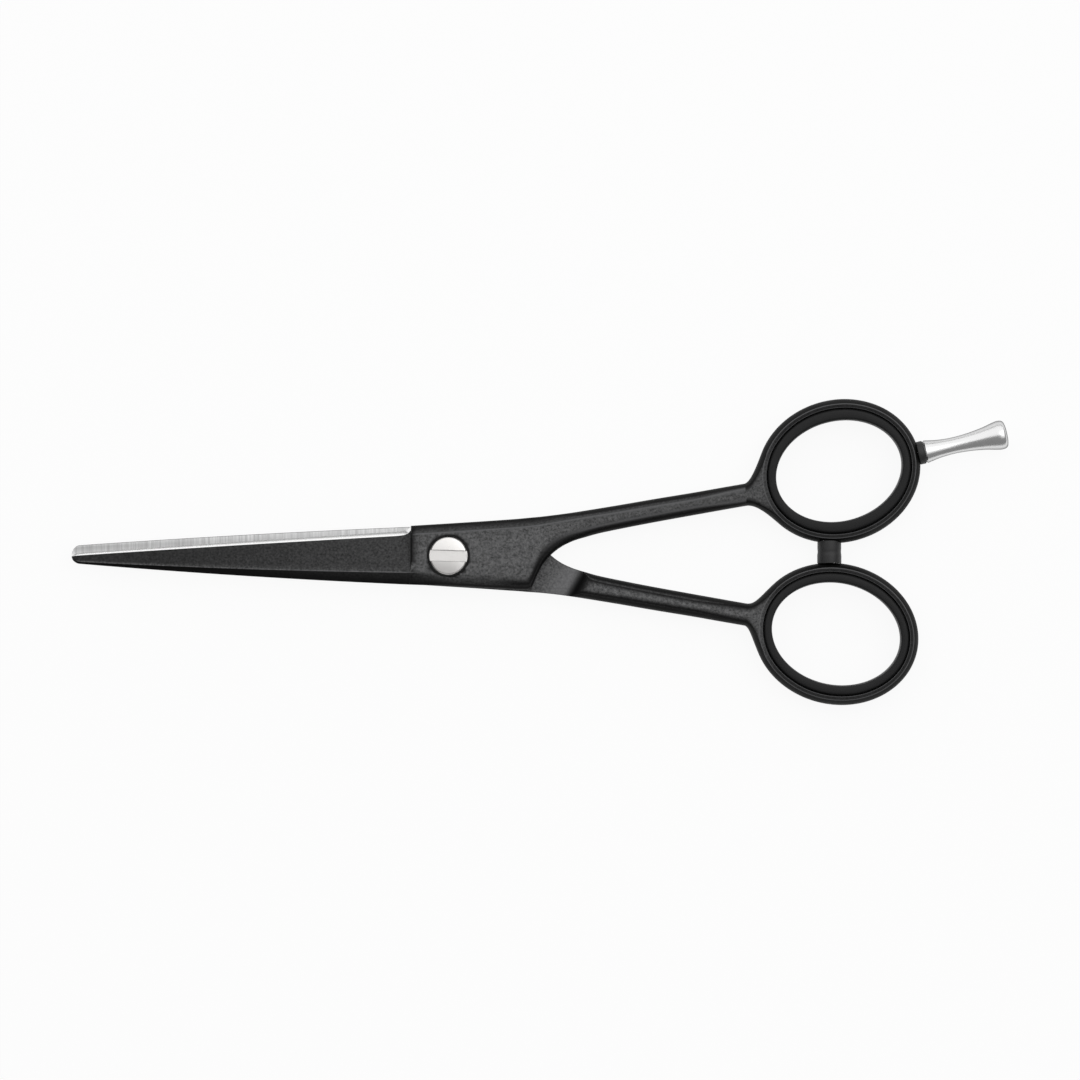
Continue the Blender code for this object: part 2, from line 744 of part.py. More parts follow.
def build():
    clear_scene()
    bpy.context.scene.unit_settings.system = "METRIC"
    finger = build_half(FINGER)
    thumb = build_half(THUMB)
    inserts = [
        build_insert(FINGER, "finger_ring_insert"),
        build_insert(THUMB, "thumb_ring_insert"),
    ]
    for obj in (finger, thumb, *inserts):
        obj.location.z = BLOCK_THICKNESS
    for half in (finger, thumb):
        finish(half, "black_coating")
    for insert in inserts:
        finish(insert, "soft_plastic")
    thumb.rotation_euler.x = math.pi
    inserts[1].rotation_euler.x = math.pi
    flange_base, sleeve = build_pivot()
    top = 2.0 * BLOCK_THICKNESS + CUT_MARGIN
    cut(finger, cylinder("bush_seat", BUSH_RADIUS + SEAT_GAP, flange_base - SEAT_GAP, top))
    cut(finger, cylinder("sleeve_hole", sleeve + SEAT_GAP, -CUT_MARGIN, top))
    cut(thumb, cylinder("thread_hole", SCREW_THREAD_RADIUS + RUNNING_GAP, -CUT_MARGIN, top))
    ring_base = BLOCK_THICKNESS - RIDE_GAP - LOCK_RING_HEIGHT - SEAT_GAP
    cut(thumb, cylinder("lock_ring_seat", LOCK_RING_RADIUS + SEAT_GAP, ring_base, top))
    build_bumper(finger)
    build_rest(finger)


build()
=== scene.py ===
"""Looks of a pair of hair cutting shears: coated halves with ground edges, turned hardware, soft ring liners.

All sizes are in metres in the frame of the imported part: pivot axis on Z, blades along -X, rest plane z = 0.
"""

import logging
import math
from dataclasses import dataclass, field
from enum import Enum, IntEnum
from typing import Callable, Sequence

import bmesh
import bpy
from mathutils import Matrix, Vector


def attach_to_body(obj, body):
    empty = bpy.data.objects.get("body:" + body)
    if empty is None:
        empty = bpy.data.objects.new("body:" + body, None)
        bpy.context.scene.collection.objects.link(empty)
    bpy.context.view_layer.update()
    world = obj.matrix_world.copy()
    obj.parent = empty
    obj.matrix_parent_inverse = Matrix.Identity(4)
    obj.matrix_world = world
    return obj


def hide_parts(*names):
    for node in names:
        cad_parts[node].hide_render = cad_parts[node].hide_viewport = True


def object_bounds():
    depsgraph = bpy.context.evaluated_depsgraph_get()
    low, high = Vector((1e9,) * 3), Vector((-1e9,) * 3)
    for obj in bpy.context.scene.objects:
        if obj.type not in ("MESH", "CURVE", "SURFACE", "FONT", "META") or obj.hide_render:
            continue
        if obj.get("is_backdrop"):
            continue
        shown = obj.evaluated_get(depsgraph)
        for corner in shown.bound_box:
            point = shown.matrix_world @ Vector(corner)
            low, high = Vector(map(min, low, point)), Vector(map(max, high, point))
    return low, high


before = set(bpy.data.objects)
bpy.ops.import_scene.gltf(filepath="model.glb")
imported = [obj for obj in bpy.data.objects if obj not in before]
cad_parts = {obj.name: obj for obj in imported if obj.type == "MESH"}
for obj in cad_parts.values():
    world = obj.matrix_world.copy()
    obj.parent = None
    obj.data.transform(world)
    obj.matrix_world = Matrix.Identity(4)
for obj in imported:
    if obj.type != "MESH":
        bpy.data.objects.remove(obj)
CAD_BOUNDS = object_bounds()
LOG = logging.getLogger("shears")

Corner = tuple[float, float, float]
Point2 = tuple[float, float]
Colour = tuple[float, float, float]
Socket = bpy.types.NodeSocket
# Vertex on the ring, its angle round the ellipse, its share across the flare and its share down the flank.
FlareSpot = tuple[int, float, float, float]
# Height of the inner face at a place and a share of the way across.
HeightRule = Callable[[Vector, float], float]

# Segments in a fillet, points added across a face, and segments round a small turned piece.
FILLET_STEPS = 4
FACE_EXTRA = 6
TURN_STEPS = 96
# Points of a section from ridge to ridge across a face, and from face to face down a side.
FACE_STEPS = FACE_EXTRA + 1 + FILLET_STEPS
SIDE_STEPS = 3 * FILLET_STEPS + 3
LOW_RIDGE = FILLET_STEPS // 2
UP_RIDGE = LOW_RIDGE + FACE_STEPS
INNER_MARKS = range(UP_RIDGE + SIDE_STEPS, UP_RIDGE + SIDE_STEPS + FACE_STEPS)
# Corners of a section after which its outer and its inner face run.
OUTER_FACE = 0
INNER_FACE = 4
# A fillet takes at most this share of the side beside it.
FILLET_SHARE = 0.48
# The halves meet at this height above the rest plane.
MATING_HEIGHT = 0.0025
# A cutter reaches this far past the piece that it cuts.
CUT_MARGIN = 0.001
# Edges turn sharp above these angles.
SHARP_ANGLE = math.radians(24.0)
RUBBER_ANGLE = math.radians(35.0)
ROUND_ANGLE = math.radians(40.0)
# Most values of a noise lie in the first range.
NOISE_RANGE = (0.3, 0.7)
FULL_RANGE = (0.0, 1.0)
# Colour sockets of a mix node.
MIX_FIRST = 6
MIX_SECOND = 7
MIX_RESULT = 2


def mix(start: float, end: float, amount: float) -> float:
    """Straight-line value between start and end."""
    return start + (end - start) * amount


def smooth_step(value: float) -> float:
    """Eased value from 0 to 1."""
    value = min(max(value, 0.0), 1.0)
    return value * value * (3.0 - 2.0 * value)


def rounded(corners: Sequence[Corner], steps: int = FILLET_STEPS) -> list[list[Point2]]:
    """Rounds each corner of a closed outline with a quadratic curve.

    Args:
        corners: (across, height, fillet length) of each corner in order.
        steps: segments in each fillet.

    Returns:
        One list of steps + 1 points for each corner.
    """
    fillets = []
    count = len(corners)
    for i, (x, y, size) in enumerate(corners):
        here = Vector((x, y))
        before = Vector(corners[i - 1][:2]) - here
        after = Vector(corners[(i + 1) % count][:2]) - here
        reach = min(size, before.length * FILLET_SHARE, after.length * FILLET_SHARE)
        first = here + before.normalized() * reach
        last = here + after.normalized() * reach
        fillet = []
        for k in range(steps + 1):
            t = k / steps
            spot = first * (1 - t) ** 2 + here * 2 * t * (1 - t) + last * t**2
            fillet.append((spot.x, spot.y))
        fillets.append(fillet)
    return fillets


def filleted(outline: Sequence[Point2], fillets: Sequence[float]) -> list[Corner]:
    """Corners of an outline, each with its fillet length."""
    return [(*place, fillet) for place, fillet in zip(outline, fillets)]


def rounded_loop(corners: Sequence[Corner]) -> list[Point2]:
    """Closed outline with rounded corners, as one list of points."""
    return [spot for fillet in rounded(corners) for spot in fillet]


def catmull(points: Sequence[Vector], steps: int) -> list[Vector]:
    """Smooth curve through points.

    Args:
        points: the points to pass through.
        steps: segments between two neighbouring points.

    Returns:
        The denser list of points, ends included.
    """
    padded = [points[0] * 2 - points[1], *points, points[-1] * 2 - points[-2]]
    result = []
    for i in range(1, len(padded) - 2):
        a, b, c, d = padded[i - 1 : i + 3]
        for k in range(steps):
            t = k / steps
            result.append(
                b
                + (c - a) * (0.5 * t)
                + (a * 2 - b * 5 + c * 4 - d) * (0.5 * t**2)
                + (b * 3 - a - c * 3 + d) * (0.5 * t**3)
            )
    result.append(padded[-2].copy())
    return result


def hermite(start: Vector, lead: Vector, end: Vector, flow: Vector, u: float) -> Vector:
    """Point at u on the cubic that leaves start along lead and comes to end along flow."""
    spot = start * (2 * u**3 - 3 * u**2 + 1) + lead * (u**3 - 2 * u**2 + u)
    return spot + end * (3 * u**2 - 2 * u**3) + flow * (u**3 - u**2)


def join(tree: bpy.types.NodeTree, socket: Socket, value: object) -> None:
    """Feeds an input of a node.

    Args:
        tree: the node tree.
        socket: the input.
        value: a socket to link to it, or its value.
    """
    if isinstance(value, Socket):
        tree.links.new(value, socket)
    else:
        socket.default_value = value


def math_node(tree: bpy.types.NodeTree, operation: str, *values: object) -> Socket:
    """Adds a math node.

    Args:
        tree: the node tree.
        operation: what the node works out.
        values: sockets or numbers to feed it.

    Returns:
        The result's socket.
    """
    node = tree.nodes.new("ShaderNodeMath")
    node.operation = operation
    for socket, value in zip(node.inputs, values):
        join(tree, socket, value)
    return node.outputs[0]


class Shader:
    """Small helper that builds one procedural material around a Principled BSDF."""

    def __init__(self, name: str) -> None:
        """Starts a node material.

        Args:
            name: material name.
        """
        self.material = bpy.data.materials.new(name)
        self.material.use_nodes = True
        self.nodes = self.material.node_tree.nodes
        self.links = self.material.node_tree.links
        self.bsdf = self.nodes["Principled BSDF"]
        self.where = self.nodes.new("ShaderNodeTexCoord").outputs["Object"]

    def set(self, **values: object) -> None:
        """Sets sockets of the Principled BSDF, with underscores for spaces."""
        for key, value in values.items():
            self.bsdf.inputs[key.replace("_", " ")].default_value = value

    def feed(self, key: str, value: Socket) -> None:
        """Links a socket to an input of the Principled BSDF."""
        self.links.new(value, self.bsdf.inputs[key])

    def noise(self, scale: float | Corner, detail: float, rough: float) -> Socket:
        """Noise on object coordinates.

        Args:
            scale: cycles per metre, one for all axes or one for each.
            detail: octaves.
            rough: how strong the finer octaves are.

        Returns:
            The factor socket.
        """
        mapping = self.nodes.new("ShaderNodeMapping")
        mapping.inputs["Scale"].default_value = scale if isinstance(scale, tuple) else (scale,) * 3
        self.links.new(self.where, mapping.inputs["Vector"])
        node = self.nodes.new("ShaderNodeTexNoise")
        node.inputs["Scale"].default_value = 1.0
        node.inputs["Detail"].default_value = detail
        node.inputs["Roughness"].default_value = rough
        self.links.new(mapping.outputs["Vector"], node.inputs["Vector"])
        return node.outputs["Fac"]

    def ranged(self, value: Socket, span: Point2, onto: Point2) -> Socket:
        """Maps a value from one range onto another and clamps it.

        Args:
            value: the value's socket.
            span: range that it comes from.
            onto: range that it goes to.

        Returns:
            The mapped value's socket.
        """
        node = self.nodes.new("ShaderNodeMapRange")
        for socket, number in zip(node.inputs[1:5], (*span, *onto)):
            socket.default_value = number
        self.links.new(value, node.inputs[0])
        return node.outputs[0]

    def colours(self, value: Socket, dark: Colour | Socket, light: Colour) -> Socket:
        """Colour between two others by a factor.

        Args:
            value: factor socket.
            dark: linear RGB at 0, or the socket that gives it.
            light: linear RGB at 1.

        Returns:
            The colour socket.
        """
        node = self.nodes.new("ShaderNodeMix")
        node.data_type = "RGBA"
        if isinstance(dark, Socket):
            self.links.new(dark, node.inputs[MIX_FIRST])
        else:
            node.inputs[MIX_FIRST].default_value = (*dark, 1.0)
        node.inputs[MIX_SECOND].default_value = (*light, 1.0)
        self.links.new(value, node.inputs[0])
        return node.outputs[MIX_RESULT]

    def attribute(self, name: str) -> Socket:
        """Reads a mesh attribute.

        Args:
            name: name of the attribute.

        Returns:
            The factor socket.
        """
        node = self.nodes.new("ShaderNodeAttribute")
        node.attribute_name = name
        return node.outputs["Fac"]

    def bump(self, height: Socket, depth: float, strength: float = 0.5) -> None:
        """Adds a bump to the surface.

        Args:
            height: height socket, 0 to 1.
            depth: real height in metres.
            strength: share of the effect.
        """
        node = self.nodes.new("ShaderNodeBump")
        node.inputs["Strength"].default_value = strength
        node.inputs["Distance"].default_value = depth
        self.links.new(height, node.inputs["Height"])
        self.feed("Normal", node.outputs["Normal"])


@dataclass(frozen=True)
class CoatingFinish:
    """Satin black coating with painted light: flats are painted lighter than the slopes, which are painted
    dark as shade, and ridges carry painted highlights.
    """

    name: str = "black_coating"
    # Painted shade: the near-black colour of the slopes.
    painted_shade: Colour = (0.003, 0.003, 0.003)
    dark: Colour = (0.039, 0.039, 0.0395)
    light: Colour = (0.177, 0.177, 0.179)
    # Painted highlight along the ridges: its colour and its greatest share.
    painted_highlight: Colour = (0.20, 0.20, 0.205)
    highlight_share: float = 0.55
    roughness: Point2 = (0.42, 0.52)
    specular: float = 0.08
    grain: float = 2700.0
    grain_span: Point2 = (0.32, 0.68)
    fine: float = 7000.0
    cloud: float = 260.0
    grain_depth: float = 0.000010

    def material(self) -> bpy.types.Material:
        """Builds the material.

        Returns:
            The new material, which reads two mesh attributes: the painted light and shade of flats and
            slopes, and the painted highlights along the ridges.
        """
        shader = Shader(self.name)
        grain = shader.noise(self.grain, detail=4.0, rough=0.7)
        fine = shader.noise(self.fine, detail=2.0, rough=0.6)
        cloud = shader.noise(self.cloud, detail=3.0, rough=0.55)
        base = shader.colours(shader.ranged(grain, self.grain_span, FULL_RANGE), self.dark, self.light)
        # Painted shade: the colour goes to near-black where the painted light of the flats falls off on the
        # slopes.
        shade_amount = shader.ranged(shader.attribute("painted_light"), FULL_RANGE, FULL_RANGE[::-1])
        shaded_base = shader.colours(shade_amount, base, self.painted_shade)
        # Painted highlight along the ridges, round the rings and on the ramp.
        painted_highlight = shader.ranged(shader.attribute("ridge"), FULL_RANGE, (0.0, self.highlight_share))
        shader.feed("Base Color", shader.colours(painted_highlight, shaded_base, self.painted_highlight))
        shader.feed("Roughness", shader.ranged(cloud, NOISE_RANGE, self.roughness))
        shader.bump(fine, self.grain_depth)
        shader.set(Metallic=0.0, Specular_IOR_Level=self.specular)
        return shader.material


@dataclass(frozen=True)
class GroundSteelFinish:
    """Bare steel, ground across the blade so that fine lines run from spine to edge."""

    name: str = "ground_steel"
    dark: Colour = (0.45, 0.45, 0.45)
    light: Colour = (0.80, 0.80, 0.80)
    roughness: Point2 = (0.30, 0.46)
    lines: float = 9000.0
    line_span: Point2 = (0.25, 0.75)
    line_depth: float = 0.000004
    bands: float = 2600.0
    patches: float = 320.0
    patch_span: Point2 = (0.35, 0.65)
    dulling: float = 0.35
    along: float = 60.0

    def material(self) -> bpy.types.Material:
        """Builds the material.

        Returns:
            The new material.
        """
        shader = Shader(self.name)
        lines = shader.noise((self.lines, self.along, self.along), detail=3.0, rough=0.65)
        bands = shader.noise((self.bands, self.along, self.along), detail=3.0, rough=0.75)
        patches = shader.noise((self.patches, self.along, self.along), detail=2.0, rough=0.5)
        tone = shader.colours(shader.ranged(bands, NOISE_RANGE, FULL_RANGE), self.dark, self.light)
        dulled = shader.ranged(patches, self.patch_span, (0.0, self.dulling))
        shader.feed("Base Color", shader.colours(dulled, tone, self.dark))
        shader.feed("Roughness", shader.ranged(lines, self.line_span, self.roughness))
        shader.bump(lines, self.line_depth)
        shader.set(Metallic=1.0)
        return shader.material


@dataclass(frozen=True)
class TurnedSteelFinish:
    """Bright steel turned on a lathe about the pivot axis."""

    name: str = "turned_steel"
    dark: Colour = (0.72, 0.705, 0.69)
    light: Colour = (0.82, 0.805, 0.79)
    roughness: Point2 = (0.26, 0.32)
    rings: float = 2600.0
    ring_wander: float = 1.5
    ring_detail: float = 2.0
    ring_depth: float = 0.0000012
    ring_strength: float = 0.35
    smudge: float = 420.0

    def material(self) -> bpy.types.Material:
        """Builds the material.

        Returns:
            The new material.
        """
        shader = Shader(self.name)
        wave = shader.nodes.new("ShaderNodeTexWave")
        wave.wave_type = "RINGS"
        wave.rings_direction = "Z"
        wave.inputs["Scale"].default_value = self.rings
        wave.inputs["Distortion"].default_value = self.ring_wander
        wave.inputs["Detail"].default_value = self.ring_detail
        shader.links.new(shader.where, wave.inputs["Vector"])
        smudge = shader.noise(self.smudge, detail=3.0, rough=0.6)
        shader.feed("Base Color", shader.colours(smudge, self.dark, self.light))
        shader.feed("Roughness", shader.ranged(smudge, NOISE_RANGE, self.roughness))
        shader.bump(wave.outputs["Fac"], self.ring_depth, self.ring_strength)
        shader.set(Metallic=1.0)
        return shader.material


@dataclass(frozen=True)
class PolishedSteelFinish:
    """Polished steel with faint handling marks, darker where it is seen at a glancing angle."""

    name: str = "polished_steel"
    dark: Colour = (0.73, 0.73, 0.73)
    light: Colour = (0.79, 0.79, 0.79)
    roughness: Point2 = (0.25, 0.29)
    edge: Colour = (0.10, 0.10, 0.10)
    marks: float = 700.0

    def material(self) -> bpy.types.Material:
        """Builds the material.

        Returns:
            The new material.
        """
        shader = Shader(self.name)
        marks = shader.noise(self.marks, detail=4.0, rough=0.6)
        shader.feed("Base Color", shader.colours(marks, self.dark, self.light))
        shader.feed("Roughness", shader.ranged(marks, NOISE_RANGE, self.roughness))
        shader.set(Metallic=1.0, Specular_Tint=(*self.edge, 1.0))
        return shader.material


@dataclass(frozen=True)
class MouldedFinish:
    """Moulded black plastic or rubber with a faint spark-eroded grain."""

    name: str
    dark: Colour
    light: Colour
    roughness: Point2
    grain: float
    grain_depth: float
    specular: float = 0.4
    grains_in_cloud: float = 12.0

    def material(self) -> bpy.types.Material:
        """Builds the material.

        Returns:
            The new material.
        """
        shader = Shader(self.name)
        grain = shader.noise(self.grain, detail=3.0, rough=0.55)
        cloud = shader.noise(self.grain / self.grains_in_cloud, detail=2.0, rough=0.5)
        shader.feed("Base Color", shader.colours(cloud, self.dark, self.light))
        shader.feed("Roughness", shader.ranged(cloud, NOISE_RANGE, self.roughness))
        shader.bump(grain, self.grain_depth)
        shader.set(Metallic=0.0, Specular_IOR_Level=self.specular)
        return shader.material


HONED_FINISH = GroundSteelFinish(
    name="honed_steel",
    dark=(0.88, 0.88, 0.88),
    light=(0.94, 0.94, 0.94),
    roughness=(0.13, 0.17),
    line_depth=0.0000001,
)
# Painted shade: near-black steel on the walls of the coin slot.
SLOT_SHADE_FINISH = TurnedSteelFinish(
    name="slot_painted_shade_steel",
    dark=(0.010, 0.010, 0.010),
    light=(0.016, 0.016, 0.016),
)
LINER_FINISH = MouldedFinish(
    name="soft_plastic",
    dark=(0.009, 0.009, 0.0093),
    light=(0.016, 0.016, 0.0165),
    roughness=(0.46, 0.58),
    grain=4200.0,
    grain_depth=0.000008,
    specular=0.20,
)
RUBBER_FINISH = MouldedFinish(
    name="rubber",
    dark=(0.015, 0.015, 0.0155),
    light=(0.025, 0.025, 0.0255),
    roughness=(0.40, 0.55),
    grain=3000.0,
    grain_depth=0.00001,
)
NYLON_FINISH = MouldedFinish(
    name="black_nylon",
    dark=(0.006, 0.006, 0.006),
    light=(0.012, 0.012, 0.012),
    roughness=(0.45, 0.6),
    grain=3600.0,
    grain_depth=0.000006,
    specular=0.3,
)


class Side(Enum):
    """Which half a piece belongs to."""

    FINGER = "finger"
    THUMB = "thumb"

    @property
    def placement(self) -> Matrix:
        """Where the half lies.

        Returns:
            The matrix from the half's own frame to the frame of the part.
        """
        lift = Matrix.Translation((0.0, 0.0, MATING_HEIGHT))
        if self is Side.FINGER:
            return lift
        return lift @ Matrix.Rotation(math.pi, 4, "X")

    @property
    def body(self) -> str:
        """Name of the rigid body."""
        return f"{self.value}_side"


class Bare(IntEnum):
    """Material slots of a half's faces without coating; slot 0 is the coating."""

    GROUND = 1
    HONED = 2


def recalculated(obj: bpy.types.Object) -> None:
    """Points every face of a closed mesh outwards.

    Args:
        obj: the mesh object.
    """
    bm = bmesh.new()
    bm.from_mesh(obj.data)
    bmesh.ops.recalc_face_normals(bm, faces=bm.faces)
    bm.to_mesh(obj.data)
    bm.free()


def add_mesh(name: str, points: Sequence[Vector], faces: Sequence[Sequence[int]]) -> bpy.types.Object:
    """Makes a mesh object with its faces pointing out.

    Args:
        name: object name.
        points: vertex places.
        faces: vertex indices of each face.

    Returns:
        The new object, linked to the scene.
    """
    mesh = bpy.data.meshes.new(name)
    mesh.from_pydata([tuple(p) for p in points], [], [list(f) for f in faces])
    mesh.validate()
    obj = bpy.data.objects.new(name, mesh)
    recalculated(obj)
    bpy.context.scene.collection.objects.link(obj)
    return obj


def prism(name: str, points: Sequence[Vector]) -> bpy.types.Object:
    """Makes a closed prism.

    Args:
        name: object name.
        points: the points of one end, then those of the other in the same order.

    Returns:
        The new object.
    """
    count = len(points) // 2
    faces = [list(range(count)), list(range(count, 2 * count))]
    for i in range(count):
        j = (i + 1) % count
        faces.append([i, j, count + j, count + i])
    return add_mesh(name, points, faces)


def coat(obj: bpy.types.Object, *materials: bpy.types.Material) -> None:
    """Gives an object its material slots in order."""
    for material in materials:
        obj.data.materials.append(material)


def applied(obj: bpy.types.Object) -> None:
    """Turns an object's modifiers into its mesh and removes them.

    Args:
        obj: the object.
    """
    bpy.context.view_layer.update()
    graph = bpy.context.evaluated_depsgraph_get()
    mesh = bpy.data.meshes.new_from_object(obj.evaluated_get(graph), depsgraph=graph)
    obj.modifiers.clear()
    old = obj.data
    obj.data = mesh
    mesh.name = obj.name
    bpy.data.meshes.remove(old)


def cut(obj: bpy.types.Object, cutters: Sequence[bpy.types.Object]) -> None:
    """Takes cutters out of an object and deletes them.

    Args:
        obj: the object to cut.
        cutters: closed objects to take out of it.
    """
    for cutter in cutters:
        modifier = obj.modifiers.new(cutter.name, "BOOLEAN")
        modifier.operation = "DIFFERENCE"
        modifier.solver = "EXACT"
        modifier.object = cutter
    applied(obj)
    for cutter in cutters:
        bpy.data.objects.remove(cutter)


def shade(obj: bpy.types.Object, angle: float = SHARP_ANGLE) -> None:
    """Smooth shading with crisp edges above an angle."""
    obj.data.shade_smooth()
    obj.data.set_sharp_from_angle(angle=angle)


def attach(obj: bpy.types.Object, body: str, node: str) -> None:
    """Makes a piece part of the shears.

    Args:
        obj: the piece.
        body: the body that it rides on.
        node: the solid that it stands in for.
    """
    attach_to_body(obj, body)
    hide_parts(node)


def lathe(name: str, profile: Sequence[Point2], steps: int, closed: bool, place: Matrix) -> bpy.types.Object:
    """Turns a profile about Z.

    Args:
        name: object name.
        profile: (radius, height) points; an open one starts and ends on the axis.
        steps: segments round the axis.
        closed: whether the profile is a loop that stays off the axis.
        place: matrix that puts the result in the part's frame.

    Returns:
        The new object.
    """
    points: list[Vector] = []
    rows: list[list[int]] = []
    for radius, height in profile:
        if radius <= 0.0:
            rows.append([len(points)] * steps)
            points.append(place @ Vector((0.0, 0.0, height)))
            continue
        rows.append(list(range(len(points), len(points) + steps)))
        for step in range(steps):
            angle = 2.0 * math.pi * step / steps
            points.append(place @ Vector((radius * math.cos(angle), radius * math.sin(angle), height)))
    if closed:
        rows.append(rows[0])
    faces = []
    for row, after in zip(rows, rows[1:]):
        for step in range(steps):
            other = (step + 1) % steps
            faces.append(list(dict.fromkeys([row[step], row[other], after[other], after[step]])))
    return add_mesh(name, points, faces)


def axis_matrix(origin: Vector, direction: Vector) -> Matrix:
    """Matrix that lays Z along a direction from an origin."""
    return Matrix.Translation(origin) @ direction.to_track_quat("Z", "Y").to_matrix().to_4x4()


def cylinder_cutter(radius: float, low: float, high: float, place: Matrix) -> bpy.types.Object:
    """Plain round cutter along the Z of a place."""
    profile = ((0.0, low), (radius, low), (radius, high), (0.0, high))
    return lathe("cutter", profile, TURN_STEPS, False, place)


def stepped_cutter(hole: Point2, seat: Point2, place: Matrix) -> bpy.types.Object:
    """Cutter for a stem's hole with a wider seat above it.

    Args:
        hole: radius and bottom height of the hole.
        seat: radius and bottom height of the seat.
        place: matrix that puts the result in the part's frame.

    Returns:
        The cutter.
    """
    step = (hole[0], seat[1])
    profile = ((0.0, hole[1]), hole, step, seat, (seat[0], CUT_MARGIN), (0.0, CUT_MARGIN))
    return lathe("cutter", profile, TURN_STEPS, False, place)


def turned_profile(corners: Sequence[Corner]) -> list[Point2]:
    """Profile of a turned piece with rounded corners.

    Args:
        corners: (radius, height, fillet length) of each corner, from the bottom up.

    Returns:
        The profile, whose ends lie on the axis.
    """
    bottom, top = corners[0][1], corners[-1][1]
    fillets = rounded([(0.0, bottom, 0.0), *corners, (0.0, top, 0.0)])
    points = [spot for fillet in fillets[1:-1] for spot in fillet]
    return [(0.0, bottom), *points, (0.0, top)]


@dataclass
class Ring:
    """Elliptical finger ring of one half, in the half's own frame."""

    centre: Point2
    tilt: float
    outer: Point2
    hole: Point2
    ridge: Corner = (0.00080, 0.00232, 0.00014)
    flank: Corner = (0.0, 0.00105, 0.0012)
    lip: Corner = (0.00144, 0.00230, 0.00012)
    wall: float = 0.0015
    tongue: float = 0.0020
    tongue_half: float = 0.00125
    step_fillet: float = 0.00005
    flare_from: float = math.radians(148.0)
    flare_to: float = math.radians(210.0)
    free_steps: int = 100

    def point(self, offset: float, angle: float, height: float) -> Vector:
        """Point on an ellipse inside the outer one.

        Args:
            offset: how far inside the ellipse lies.
            angle: angle round the ellipse.
            height: height above the mating plane.

        Returns:
            The point in the half's own frame.
        """
        wide, narrow = (size - offset for size in self.outer)
        spot = Matrix.Rotation(self.tilt, 2) @ Vector((wide * math.cos(angle), narrow * math.sin(angle)))
        return Vector((self.centre[0] + spot.x, self.centre[1] + spot.y, height))

    def reach(self, direction: float) -> float:
        """Distance from the centre to the outer ellipse in a direction."""
        local = direction - self.tilt
        return 1.0 / math.hypot(math.cos(local) / self.outer[0], math.sin(local) / self.outer[1])

    def near_side(self, x: float) -> float:
        """Side of the outer ellipse that faces the other ring.

        Args:
            x: place along the shears.

        Returns:
            The y of the ellipse there.
        """
        cos, sin = math.cos(self.tilt), math.sin(self.tilt)
        a, b = self.outer
        dx = x - self.centre[0]
        square = (sin / a) ** 2 + (cos / b) ** 2
        middle = dx * cos * sin * (1.0 / a**2 - 1.0 / b**2)
        rest = dx**2 * ((cos / a) ** 2 + (sin / b) ** 2) - 1.0
        return self.centre[1] - (middle + math.sqrt(middle**2 - square * rest)) / square

    def profile(self) -> list[Point2]:
        """Section of the steel.

        Returns:
            (offset, height) points of a loop from the upper ridge round the outside.
        """
        upper = [self.ridge, self.flank]
        inside = [
            (self.tongue, self.tongue_half, self.step_fillet),
            (self.wall, self.tongue_half, self.step_fillet),
            self.lip,
        ]
        lower = [(x, -z, r) for x, z, r in upper[::-1] + inside[::-1]]
        points = rounded_loop(upper + lower + inside)
        return points[LOW_RIDGE:] + points[:LOW_RIDGE]


